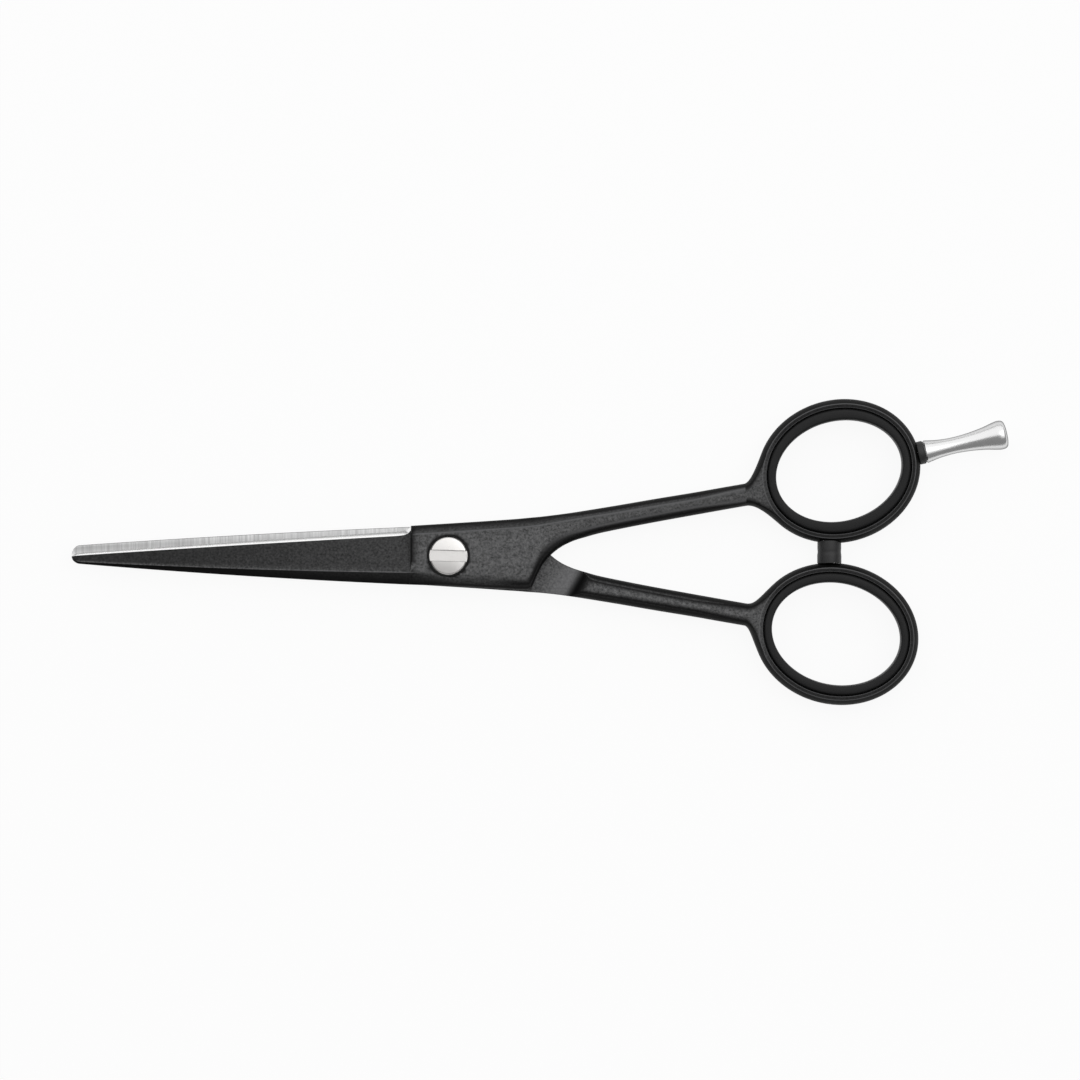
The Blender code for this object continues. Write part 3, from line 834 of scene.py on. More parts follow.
@dataclass
class ShearHalf:
    """One half from tip to ring: lofted blade, pivot block and arm that flow into the swept ring."""

    side: Side
    ring: Ring
    coating: bpy.types.Material
    steel: bpy.types.Material
    honed: bpy.types.Material
    # What differs between the halves.
    spine_bow: float
    arm_shift: float = 0.0
    block_trim: float = 0.0
    # Blade: outline, nose, ridges and edge.
    blade_length: float = 0.06199
    edge_at_pivot: float = 0.00445
    edge_slope: float = 0.0585
    edge_bow: float = 0.00046
    spine_at_pivot: float = 0.0050
    spine_slope: float = 0.0378
    nose_offset: float = 0.0001
    nose_round: float = 0.0013
    nose_turn: float = 86.0
    ridge_at_pivot: float = 0.0022
    ridge_slope: float = 0.0305
    bevel_at_pivot: float = 0.00072
    bevel_slope: float = 0.0055
    bevel_steepness: float = 0.85
    face_angle: float = math.radians(16.0)
    spine_steepness: float = 0.75
    spine_wall_min: float = 0.00034
    edge_land: float = 0.00005
    edge_break: float = 0.4
    spine_break: float = 3.0
    ridge_round: float = 0.00014
    bevel_round: float = 0.00004
    edge_round: float = 0.00001
    hollow: float = 0.00005
    ride_gap: float = 0.0001
    # Pivot block and arm: thickness, chamfers as (inset, drop), and fillets.
    block_thickness: float = 0.0025
    block_lower: Point2 = (0.0020, 0.0015)
    block_lower_soft: Point2 = (0.0013, 0.0013)
    soft_ridge: float = 0.0009
    side_round: Point2 = (0.0009, 0.0011)
    block_ridge: float = 0.00030
    least_inner: float = 0.04
    arm_ridge: float = 0.00045
    neck_ridge: float = 0.0006
    neck_inset: float = 0.00085
    neck_from: float = 0.0400
    neck_over: float = 0.0088
    block_upper: Point2 = (0.0014, 0.0014)
    arm_half: float = 0.0021
    arm_chamfer: Point2 = (0.00118, 0.0012)
    arm_from: float = 0.0125
    arm_over: float = 0.0120
    # Ramp of the inner face, as distances from the pivot.
    ramp: Point2 = (0.0168, 0.0218)
    ramp_power: float = 5.5
    ramp_turn: float = math.radians(30.5)
    # Where the painted highlight on the ramp starts, peaks and ends.
    ramp_highlight_span: Corner = (0.0150, 0.0190, 0.0208)
    # Where the block's lower ridge softens, and where the inner face is no longer bare.
    soften_from: float = 0.0060
    soften_over: float = 0.0080
    bare_until: float = -0.0061
    # How far the arm and the ring pull the flare along their own directions.
    arm_pull: Point2 = (0.0045, 0.0028)
    ring_pull: float = 0.0098
    crest_pull: float = 0.0016
    crest_arm_pull: float = 0.0040
    crest_ring_pull: float = 0.0060
    flow_step: float = 0.01
    flow_power: int = 3
    # Painted light and shade: how light the flats and slopes are painted, and how strong the painted
    # highlights along the ridges, round the rings and on the ramp are.
    # Painted light: normals that face up within this range are painted light, steeper ones dark as shade.
    lit_tilt_range: Point2 = (0.945, 1.0)
    # Painted light on the blade's face: darker towards the tip, lighter towards the pivot.
    blade_painted_light: Point2 = (0.14, 0.42)
    blade_painted_light_from: float = -0.0600
    blade_painted_light_until: float = -0.00625
    # Painted light on the block's lower slope and on the spine towards the pivot.
    block_shade: Point2 = (0.32, 0.80)
    block_shade_until: float = 0.0065
    block_shade_over: float = 0.0060
    spine_shade: float = 0.20
    spine_shade_from: float = -0.0430
    spine_shade_over: float = 0.0370
    # Painted highlights along the ridges and on the ramp.
    ridge_highlight_spread: Corner = (0.5, 1.0, 0.5)
    blade_highlight: float = 1.0
    arm_highlight: float = 0.95
    ramp_highlight: float = 1.0
    # Painted light on the slopes that face the light, painted shade on those that face away.
    lit_slope: Point2 = (0.45, 0.03)
    shaded_slope: Point2 = (0.16, 0.0)
    soften_rounds: int = 4
    soften_share: float = 0.5
    # Painted highlight lines round the rings.
    ring_highlight: float = 0.90
    ring_highlight_spread: Corner = (0.75, 1.0, 0.75)
    # Painted shade on the flats of the arm and the ring: their painted light is scaled down.
    arm_painted_light: float = 1.0
    ring_painted_light: float = 0.22
    ring_fade: float = 0.0040
    # Where the arm moves over by its shift.
    shift_from: float = 0.0100
    shift_over: float = 0.0100
    # Sections along each stretch.
    blade_steps: int = 60
    nose_steps: int = 10
    station_steps: int = 5
    flare_steps: int = 18
    # (distance from the pivot, lift of the edge) where the edge runs out.
    run_out: tuple[Point2, ...] = (
        (0.0086, 0.0),
        (0.0080, 0.00002),
        (0.0074, 0.00008),
        (0.0070, 0.00018),
        (0.0067, 0.00032),
        (0.0065, 0.00048),
        (0.0063, 0.00070),
        (0.0062, 0.00084),
    )
    # Lower and upper outline points from the pivot block to the end of the arm.
    stations: tuple[tuple[Point2, Point2], ...] = (
        ((-0.00608, -0.00475), (-0.00608, 0.00495)),
        ((-0.00200, -0.00490), (-0.00200, 0.00520)),
        ((0.00300, -0.00513), (0.00250, 0.00548)),
        ((0.00800, -0.00540), (0.00700, 0.00577)),
        ((0.01280, -0.00560), (0.01080, 0.00604)),
        ((0.01376, -0.00497), (0.01200, 0.00614)),
        ((0.01451, -0.00326), (0.01290, 0.00623)),
        ((0.01565, -0.00118), (0.01390, 0.00632)),
        ((0.01706, 0.00035), (0.01500, 0.00642)),
        ((0.01850, 0.00145), (0.01620, 0.00656)),
        ((0.01998, 0.00222), (0.01760, 0.00673)),
        ((0.02120, 0.00268), (0.01880, 0.00689)),
        ((0.02244, 0.00304), (0.02010, 0.00707)),
        ((0.02491, 0.00372), (0.02280, 0.00749)),
        ((0.02985, 0.00474), (0.02840, 0.00841)),
        ((0.03479, 0.00568), (0.03380, 0.00934)),
        ((0.04100, 0.00680), (0.04025, 0.01040)),
        ((0.04520, 0.00755), (0.04450, 0.01115)),
        ((0.04890, 0.00820), (0.04860, 0.01186)),
    )
    loops: list[list[Vector]] = field(default_factory=list)

    @property
    def node(self) -> str:
        """Name of the solid that this piece stands for."""
        return f"{self.side.value}_half"

    @property
    def floor(self) -> float:
        """Height of the inner face above the mating plane."""
        return self.ride_gap / 2.0

    def section(
        self, lower: Vector, upper: Vector, corners: Sequence[Corner], height: HeightRule
    ) -> list[Vector]:
        """Loop of points round one section.

        Args:
            lower: outline point on the spine side.
            upper: outline point on the edge side.
            corners: eight (across, height, fillet) corners from the lower ridge over the outer face.
            height: rule for the height of the inner face.

        Returns:
            The loop, with the same number of points for every section.
        """
        across = (upper - lower).normalized()
        points: list[Vector] = []
        fillets = rounded(corners)

        def spot(u: float, z: float) -> Vector:
            """Place in space of a point of the section."""
            place = lower + across * u
            return Vector((place.x, place.y, z))

        for index, fillet in enumerate(fillets):
            points += [spot(u, z) for u, z in fillet]
            if index not in (OUTER_FACE, INNER_FACE):
                continue
            start, end = fillet[-1], fillets[index + 1][0]
            for k in range(1, FACE_EXTRA + 1):
                share = k / (FACE_EXTRA + 1)
                place = spot(mix(start[0], end[0], share), mix(start[1], end[1], share))
                if index == INNER_FACE:
                    place.z = height(place, share)
                points.append(place)
        return points

    def edge_at(self, distance: float) -> float:
        """y of the cutting edge at a distance from the pivot."""
        bow = self.edge_bow * (distance / self.blade_length) ** 2
        return self.edge_at_pivot - self.edge_slope * distance - bow

    def blade_section(self, distance: float, lift: float, pinch: float) -> list[Vector]:
        """Section of the blade.

        Args:
            distance: distance from the pivot.
            lift: how far the edge is raised at its run-out.
            pinch: share of the width left where the nose rounds off.

        Returns:
            The loop of points.
        """
        edge = mix(-self.nose_offset, self.edge_at(distance) + lift, pinch)
        spine = -self.spine_at_pivot + self.spine_slope * distance
        spine += self.spine_bow * (distance / self.blade_length) ** 2
        spine = mix(-self.nose_offset, spine, pinch)
        width = edge - spine
        ridge = (self.ridge_at_pivot - self.ridge_slope * distance) * pinch
        bevel = (self.bevel_at_pivot - self.bevel_slope * distance) * pinch
        land = self.floor + self.edge_land
        bevel_top = land + bevel * self.bevel_steepness
        ridge_top = bevel_top + math.tan(self.face_angle) * (width - bevel - ridge)
        wall = max(ridge_top - ridge * self.spine_steepness, self.floor + self.spine_wall_min)
        ridge_top = max(ridge_top, wall + self.edge_land)
        tiny = self.edge_land * self.edge_break
        heel = tiny * self.spine_break
        corners = [
            (ridge, ridge_top, self.ridge_round),
            (width - bevel, bevel_top, self.bevel_round),
            (width, land, self.edge_round),
            (width, self.floor + tiny, self.edge_round),
            (width - tiny, self.floor, self.edge_round),
            (heel, self.floor, self.bevel_round),
            (0.0, self.floor + heel, self.bevel_round),
            (0.0, wall, self.ridge_round),
        ]
        depth = self.hollow * pinch

        def height(_place: Vector, share: float) -> float:
            """Height of the hollow inner face."""
            return self.floor + depth * 4.0 * share * (1.0 - share)

        return self.section(Vector((-distance, spine)), Vector((-distance, edge)), corners, height)

    def along_ramp(self, place: Vector) -> float:
        """How far a place lies from the pivot in the direction in which the ramp runs down."""
        return place.x * math.cos(self.ramp_turn) + place.y * math.sin(self.ramp_turn)

    def inner_height(self, place: Vector) -> float:
        """Height of the inner face, which ramps down to the arm outside the sweep of the other half.

        Args:
            place: a place on the face.

        Returns:
            The height above the mating plane.
        """
        reach = (self.along_ramp(place) - self.ramp[0]) / (self.ramp[1] - self.ramp[0])
        reach = min(max(reach, 0.0), 1.0)
        return mix(self.floor, -self.arm_half, reach**self.ramp_power)

    def ramp_highlight_share(self, place: Vector) -> float:
        """Painted highlight on the ramp.

        Args:
            place: a place on the inner face.

        Returns:
            The share of the painted highlight that the place has.
        """
        start, peak, end = self.ramp_highlight_span
        along = self.along_ramp(place)
        return min(smooth_step((along - start) / (peak - start)), smooth_step((end - along) / (end - peak)))

    def shank_section(self, lower: Vector, upper: Vector) -> list[Vector]:
        """Section of the pivot block or arm.

        Args:
            lower: outline point on the spine side.
            upper: outline point on the edge side.

        Returns:
            The loop of points.
        """
        middle = (lower.x + upper.x) / 2.0
        turn = smooth_step((middle - self.shift_from) / self.shift_over)
        lower = Vector((lower.x, lower.y + self.arm_shift * turn))
        upper = Vector((upper.x, upper.y + mix(-self.block_trim, self.arm_shift, turn)))
        width = (upper - lower).length
        arm = smooth_step((middle - self.arm_from) / self.arm_over)
        top = mix(self.block_thickness, self.arm_half, arm)
        soften = smooth_step((middle + self.soften_from) / self.soften_over)
        block_lower = (mix(a, b, soften) for a, b in zip(self.block_lower, self.block_lower_soft))
        neck = smooth_step((middle - self.neck_from) / self.neck_over)
        inset, drop = mix(self.arm_chamfer[0], self.neck_inset, neck), self.arm_chamfer[1]
        low_in, low_drop = (mix(a, b, arm) for a, b in zip(block_lower, (inset, drop)))
        up_in, up_drop = (mix(a, b, arm) for a, b in zip(self.block_upper, (inset, drop)))
        low_z, up_z = self.inner_height(lower), self.inner_height(upper)

        def inner_share(z: float) -> float:
            """Share of the arm's chamfer that the inner face has at its height."""
            return max(arm * (self.floor - z) / self.arm_half, self.least_inner)

        def height(place: Vector, _share: float) -> float:
            """Height of the ramped inner face."""
            return self.inner_height(place)

        low_share, up_share = inner_share(low_z), inner_share(up_z)
        soft = mix(*self.side_round, arm)
        crisp = mix(self.ridge_round, soft, soften)
        ridge = mix(self.arm_ridge, self.neck_ridge, neck)
        up_ridge = mix(self.block_ridge, ridge, arm)
        low_ridge = mix(mix(self.ridge_round, self.soft_ridge, soften), ridge, arm)
        corners = [
            (low_in, top, low_ridge),
            (width - up_in, top, up_ridge),
            (width, top - up_drop, soft),
            (width, up_z + drop * up_share, soft * up_share),
            (width - inset * up_share, up_z, ridge * up_share),
            (inset * low_share, low_z, ridge * low_share),
            (0.0, low_z + drop * low_share, soft * low_share),
            (0.0, top - low_drop, crisp),
        ]
        return self.section(lower, upper, corners, height)

    def build_loops(self) -> None:
        """Works out every section from the tip to the end of the arm."""
        self.loops = []
        for step in range(self.nose_steps):
            angle = math.radians(mix(self.nose_turn, 0.0, step / (self.nose_steps - 1)))
            distance = self.blade_length - self.nose_round * (1.0 - math.sin(angle))
            self.loops.append(self.blade_section(distance, 0.0, math.cos(angle)))
        start = self.blade_length - self.nose_round
        for step in range(1, self.blade_steps):
            distance = mix(start, self.run_out[0][0], step / self.blade_steps)
            self.loops.append(self.blade_section(distance, 0.0, 1.0))
        lift_scale = 1.0 - self.block_trim / self.run_out[-1][1]
        for distance, lift in self.run_out:
            self.loops.append(self.blade_section(distance, lift * lift_scale, 1.0))
        lowers = catmull([Vector(pair[0]) for pair in self.stations], self.station_steps)
        uppers = catmull([Vector(pair[1]) for pair in self.stations], self.station_steps)
        for lower, upper in zip(lowers, uppers):
            self.loops.append(self.shank_section(lower, upper))

    def flow(self, point: Vector, angle: float, amount: float, flank: float) -> Vector:
        """Direction in which the arm's surface runs onto the ring at a point.

        Args:
            point: place on the ring.
            angle: its angle round the ellipse.
            amount: -1 to 1 across the flare; at the ends the surface runs along the ring.
            flank: 0 on the crests, 1 at mid height of the flank.

        Returns:
            The tangent vector.
        """
        ahead = self.ring.point(0.0, angle + self.flow_step, 0.0) - self.ring.point(0.0, angle, 0.0)
        centre = Vector((*self.ring.centre, point.z))
        inward = (centre - point).normalized() * self.crest_pull
        pull = mix(self.crest_ring_pull, self.ring_pull, flank)
        sideways = ahead.normalized() * math.copysign(pull, amount)
        return inward.lerp(sideways, abs(amount) ** self.flow_power)

    def build(self) -> bpy.types.Object:
        """Makes the half as one mesh in its own frame and puts it in its place.

        Returns:
            The object, with slot 0 for the coating, 1 for ground steel and 2 for the honed bevel.
        """
        self.build_loops()
        points: list[Vector] = []
        faces: list[list[int]] = []
        bare: dict[int, int] = {}
        highlight_points: dict[int, float] = {}
        slopes: dict[int, float] = {}
        rows = []
        for loop in self.loops:
            row = list(range(len(points), len(points) + len(loop)))
            points.extend(loop)
            self.paint_highlights(loop, row, highlight_points)
            self.shade_section(loop, row, slopes)
            rows.append(row)
        self.skin(rows, points, faces, bare)
        self.add_ring(points, faces, rows[-1], highlight_points)
        obj = add_mesh(f"{self.node}_forged", [self.side.placement @ p for p in points], faces)
        coat(obj, self.coating, self.steel, self.honed)
        self.mark(obj, bare, highlight_points, slopes)
        return obj

    def near_pivot(self, along: float) -> float:
        """How far the painted light on the spine and the painted highlight on the blade's ridge have grown on
        the way to the pivot, from 0 to 1.
        """
        return smooth_step((along - self.spine_shade_from) / self.spine_shade_over)

    def paint_highlights(self, loop: list[Vector], row: list[int], highlight_points: dict[int, float]) -> None:
        """Notes the painted highlights on the ridges and the ramp of one section.

        Args:
            loop: points of the section.
            row: their vertex indices.
            highlight_points: painted highlight of the vertices on ridges and on the ramp, to extend.
        """
        along = loop[LOW_RIDGE].x
        blade = along < -self.soften_from
        arm = smooth_step((along - self.arm_from) / self.arm_over)
        low_highlight = self.blade_highlight * self.near_pivot(along) if blade else self.arm_highlight * arm
        up_highlight = 0.0 if blade else self.arm_highlight
        for offset, share in zip((-1, 0, 1), self.ridge_highlight_spread):
            highlight_points[row[LOW_RIDGE + offset]] = low_highlight * share
            highlight_points[row[UP_RIDGE + offset]] = up_highlight * share
        for mark in INNER_MARKS:
            highlight_points[row[mark]] = self.ramp_highlight * self.ramp_highlight_share(loop[mark])

    def shade_section(self, loop: list[Vector], row: list[int], slopes: dict[int, float]) -> None:
        """Notes the painted light of the spine, the block's lower side and the blade's face in one section.

        Args:
            loop: points of the section.
            row: their vertex indices.
            slopes: painted light of vertices, to extend.
        """
        along = loop[LOW_RIDGE].x
        if along < -self.soften_from:
            slopes[row[0]] = self.spine_shade * self.near_pivot(along)
        else:
            tail = smooth_step((along - self.block_shade_until) / self.block_shade_over)
            self.shade_slopes(slopes, row, 1.0 - smooth_step((along - self.neck_from) / self.neck_over))
            for k in range(FILLET_STEPS + 1):
                least = mix(*self.block_shade, k / FILLET_STEPS) * (1.0 - tail)
                slopes[row[k]] = max(slopes.get(row[k], 0.0), least)
        # Painted light on the blade's face, lighter towards the pivot.
        if along < self.blade_painted_light_until:
            reach = (along - self.blade_painted_light_from) / (self.blade_painted_light_until - self.blade_painted_light_from)
            least = mix(*self.blade_painted_light, max(0.0, reach))
            slopes.update((index, least) for index in row[LOW_RIDGE + 1 : UP_RIDGE])

    def skin(
        self, rows: list[list[int]], points: list[Vector], faces: list[list[int]], bare: dict[int, int]
    ) -> None:
        """Closes the tip and spans the sections with faces.

        Args:
            rows: vertex indices of each section.
            points: vertex places.
            faces: face list to extend.
            bare: material slot of the faces without coating, to extend.
        """
        faces.append(rows[0])
        blade_rows = self.nose_steps + self.blade_steps - 1 + len(self.run_out)
        for index, (first, second) in enumerate(zip(rows, rows[1:])):
            on_blade = index < blade_rows - 1
            for i in range(len(first)):
                j = (i + 1) % len(first)
                inner = i in INNER_MARKS and points[first[i]].x < self.bare_until
                bevel = on_blade and UP_RIDGE <= i < UP_RIDGE + SIDE_STEPS
                if inner or bevel:
                    bare[len(faces)] = Bare.HONED if bevel else Bare.GROUND
                faces.append([first[i], first[j], second[j], second[i]])

    def shade_slopes(self, slopes: dict[int, float], row: list[int], share: float) -> None:
        """Notes the painted light on the slopes that face the light and the painted shade on those that face
        away, from the ridges down to the outline.

        Args:
            slopes: painted light of vertices, to extend.
            row: vertex indices of one section.
            share: strength of the effect.
        """
        fillet, face = FILLET_STEPS + 1, FACE_EXTRA
        outer_end = 2 * fillet + face - 1
        inner_start = outer_end + 2 * fillet + 1
        inner_end = inner_start + 2 * fillet + face - 1
        lit = ((outer_end, outer_end + 1), (inner_end, inner_end + 1))
        shaded = ((0, -1), (inner_start, inner_start - 1))
        for pairs, shades in ((lit, self.lit_slope), (shaded, self.shaded_slope)):
            for marks in pairs:
                for mark, value in zip(marks, shades):
                    slopes[row[mark]] = value * share

    def ring_highlights(self, count: int) -> dict[int, float]:
        """Painted highlight lines round the ring.

        Args:
            count: points in the ring's profile.

        Returns:
            The painted highlight of the points on a line and beside it.
        """
        lip = count - 1 - FILLET_STEPS
        lines: dict[int, float] = {}
        for mark in (0, SIDE_STEPS, lip, SIDE_STEPS + count - lip):
            for offset, share in zip((-1, 0, 1), self.ring_highlight_spread):
                lines[(mark + offset) % count] = self.ring_highlight * share
        return lines

    def add_ring(
        self, points: list[Vector], faces: list[list[int]], last: list[int], highlight_points: dict[int, float]
    ) -> None:
        """Adds the ring and the flare that joins it to the last section of the arm.

        Args:
            points: vertex list to extend.
            faces: face list to extend.
            last: vertex indices of the arm's last section.
            highlight_points: painted highlight of the vertices on ridges and round the ring, to extend.
        """
        ring = self.ring
        profile = ring.profile()
        lines = self.ring_highlights(len(profile))
        turn = 2.0 * math.pi - (ring.flare_to - ring.flare_from)
        angles = [ring.flare_to + turn * k / ring.free_steps for k in range(ring.free_steps)]
        angles += [mix(ring.flare_from, ring.flare_to, k / FACE_STEPS) for k in range(FACE_STEPS)]
        grid: dict[tuple[int, int], int] = {}
        for i, angle in enumerate(angles):
            for j, (offset, height) in enumerate(profile):
                if i > ring.free_steps and 0 < j < SIDE_STEPS:
                    continue
                grid[i, j] = len(points)
                points.append(ring.point(offset, angle, height))
                if j in lines:
                    highlight_points[grid[i, j]] = lines[j]
        for i in range(len(angles)):
            for j in range(len(profile)):
                if i >= ring.free_steps and j < SIDE_STEPS:
                    continue
                after_i, after_j = (i + 1) % len(angles), (j + 1) % len(profile)
                faces.append([grid[i, j], grid[after_i, j], grid[after_i, after_j], grid[i, after_j]])
        self.add_flare(points, faces, last, self.flare_target(grid))

    def flare_target(self, grid: dict[tuple[int, int], int]) -> list[FlareSpot]:
        """Lists the points of the ring that the flare runs onto.

        Args:
            grid: vertex at each step round the ring and each point of its profile.

        Returns:
            The points in the order of the arm's last section.
        """
        ring = self.ring
        steps = range(FACE_STEPS + 1)
        sides = range(1, SIDE_STEPS)
        around = ring.free_steps + FACE_STEPS
        patch = [(around - k) % around for k in steps]
        flanks = [smooth_step(1.0 - abs(2.0 * j / SIDE_STEPS - 1.0)) for j in range(SIDE_STEPS + 1)]
        shares = [1.0 - 2.0 * k / FACE_STEPS for k in steps]
        turns = [mix(ring.flare_to, ring.flare_from, k / FACE_STEPS) for k in steps]
        crest = list(zip(patch, turns, shares))
        target = [(grid[i, 0], a, s, 0.0) for i, a, s in crest]
        target += [(grid[patch[-1], j], ring.flare_from, -1.0, flanks[j]) for j in sides]
        target += [(grid[i, SIDE_STEPS], a, s, 0.0) for i, a, s in reversed(crest)]
        target += [(grid[patch[0], j], ring.flare_to, 1.0, flanks[j]) for j in reversed(sides)]
        return target

    def add_flare(
        self, points: list[Vector], faces: list[list[int]], last: list[int], target: list[FlareSpot]
    ) -> None:
        """Adds the flare between the arm and the ring.

        Args:
            points: vertex list to extend.
            faces: face list to extend.
            last: vertex indices of the arm's last section.
            target: points of the ring that the section runs onto.
        """
        arm = last[LOW_RIDGE:] + last[:LOW_RIDGE]
        ahead = Vector(self.stations[-1][0]) - Vector(self.stations[-2][0])
        ahead = Vector((ahead.x, ahead.y, 0.0)).normalized()
        inner, outer = self.arm_pull
        leads = []
        for _index, _angle, amount, flank in target:
            leads.append(ahead * mix(self.crest_arm_pull, inner if amount > 0.0 else outer, flank))
        flows = [self.flow(points[index], *where) for index, *where in target]
        ends = [index for index, *_where in target]
        before = arm
        for step in range(1, self.flare_steps + 1):
            row = ends
            if step < self.flare_steps:
                row = list(range(len(points), len(points) + len(ends)))
                for begin, lead, end, flow in zip(arm, leads, ends, flows):
                    points.append(hermite(points[begin], lead, points[end], flow, step / self.flare_steps))
            for i in range(len(row)):
                j = (i + 1) % len(row)
                faces.append([before[i], before[j], row[j], row[i]])
            before = row

    def mark(
        self,
        obj: bpy.types.Object,
        bare: dict[int, int],
        highlight_points: dict[int, float],
        slopes: dict[int, float],
    ) -> None:
        """Stores the bare faces, the painted highlights along the ridges and the painted light and shade of
        flats and slopes on the mesh.

        Args:
            obj: the half.
            bare: material slot of the faces without coating.
            highlight_points: painted highlight of the vertices on ridges, round the ring and on the ramp.
            slopes: least painted light of the vertices on slopes and on the blade's face.
        """
        mesh = obj.data
        for index, slot in bare.items():
            mesh.polygons[index].material_index = slot
        # Painted highlights along the ridges, round the rings and on the ramp.
        ridge = mesh.attributes.new("ridge", "FLOAT", "POINT")
        values = [highlight_points.get(index, 0.0) for index in range(len(mesh.vertices))]
        ridge.data.foreach_set("value", values)
        # Painted light and shade: vertices whose normals face up are painted light, steeper ones dark; the
        # arm's and the ring's flats get less painted light.
        painted_light = mesh.attributes.new("painted_light", "FLOAT", "POINT")
        low, high = self.lit_tilt_range
        tilts = [abs(vertex.normal.z) for vertex in mesh.vertices]
        shares = [smooth_step((tilt - low) / (high - low)) for tilt in tilts]
        shares = self.softened(mesh, shares)
        start = self.ring.centre[0] - self.ring.outer[0]
        for vertex in mesh.vertices:
            on_arm = smooth_step((vertex.co.x - self.arm_from) / self.arm_over)
            on_ring = smooth_step((vertex.co.x - start) / self.ring_fade)
            shares[vertex.index] *= mix(1.0, self.arm_painted_light, on_arm) * mix(1.0, self.ring_painted_light, on_ring)
        painted_light.data.foreach_set("value", [max(share, slopes.get(i, 0.0)) for i, share in enumerate(shares)])

    def softened(self, mesh: bpy.types.Mesh, values: list[float]) -> list[float]:
        """Evens out the painted light between neighbouring points of the block, arm and ring.

        Args:
            mesh: the half's mesh.
            values: one value for each vertex.

        Returns:
            The evened values; the blade keeps its own.
        """
        neighbours: list[list[int]] = [[] for _vertex in mesh.vertices]
        for edge in mesh.edges:
            first, second = edge.vertices
            neighbours[first].append(second)
            neighbours[second].append(first)
        shank = [v.index for v in mesh.vertices if v.co.x > -self.soften_from]
        for _round in range(self.soften_rounds):
            before = list(values)
            for index in shank:
                around = neighbours[index]
                mean = sum(before[n] for n in around) / len(around)
                values[index] = mix(before[index], mean, self.soften_share)
        return values

    def dress(self, obj: bpy.types.Object) -> None:
        """Gives the half its shading and attaches it."""
        shade(obj)
        attach(obj, self.side.body, self.node)


class Tree:
    """Small helper that builds a geometry node tree with named inputs."""

    def __init__(self, name: str) -> None:
        """Starts a tree with a geometry input and output.

        Args:
            name: name of the tree.
        """
        self.group = bpy.data.node_groups.new(name, "GeometryNodeTree")
        self.group.interface.new_socket("Geometry", in_out="INPUT", socket_type="NodeSocketGeometry")
        self.group.interface.new_socket("Geometry", in_out="OUTPUT", socket_type="NodeSocketGeometry")
        self.entry = self.group.nodes.new("NodeGroupInput")
        self.exit = self.group.nodes.new("NodeGroupOutput")
        self.keys: dict[str, str] = {}

    def value(self, name: str) -> Socket:
        """Adds a number as an input.

        Args:
            name: name of the input.

        Returns:
            Its socket inside the tree.
        """
        item = self.group.interface.new_socket(name, in_out="INPUT", socket_type="NodeSocketFloat")
        self.keys[name] = item.identifier
        return next(s for s in self.entry.outputs if s.identifier == item.identifier)

    def node(self, kind: str, **inputs: object) -> bpy.types.Node:
        """Adds a node.

        Args:
            kind: type of the node.
            inputs: sockets or values for its inputs, with underscores for spaces.

        Returns:
            The node.
        """
        node = self.group.nodes.new(kind)
        for key, value in inputs.items():
            join(self.group, node.inputs[key.replace("_", " ")], value)
        return node

    def math(self, operation: str, *values: object) -> Socket:
        """Adds a math node and gives its result."""
        return math_node(self.group, operation, *values)

    def finish(self, geometry: Socket, material: bpy.types.Material) -> None:
        """Ends the tree in realised geometry with a material.

        Args:
            geometry: the shape's socket.
            material: its finish.
        """
        real = self.node("GeometryNodeRealizeInstances", Geometry=geometry)
        dressed = self.node("GeometryNodeSetMaterial", Geometry=real.outputs[0], Material=material)
        self.group.links.new(dressed.outputs[0], self.exit.inputs[0])

    def run(self, obj: bpy.types.Object, values: dict[str, object]) -> None:
        """Runs the tree on an object and keeps the result as its mesh.

        Args:
            obj: the object.
            values: number for each named input.
        """
        modifier = obj.modifiers.new(self.group.name, "NODES")
        modifier.node_group = self.group
        for name, value in values.items():
            modifier[self.keys[name]] = value
        applied(obj)


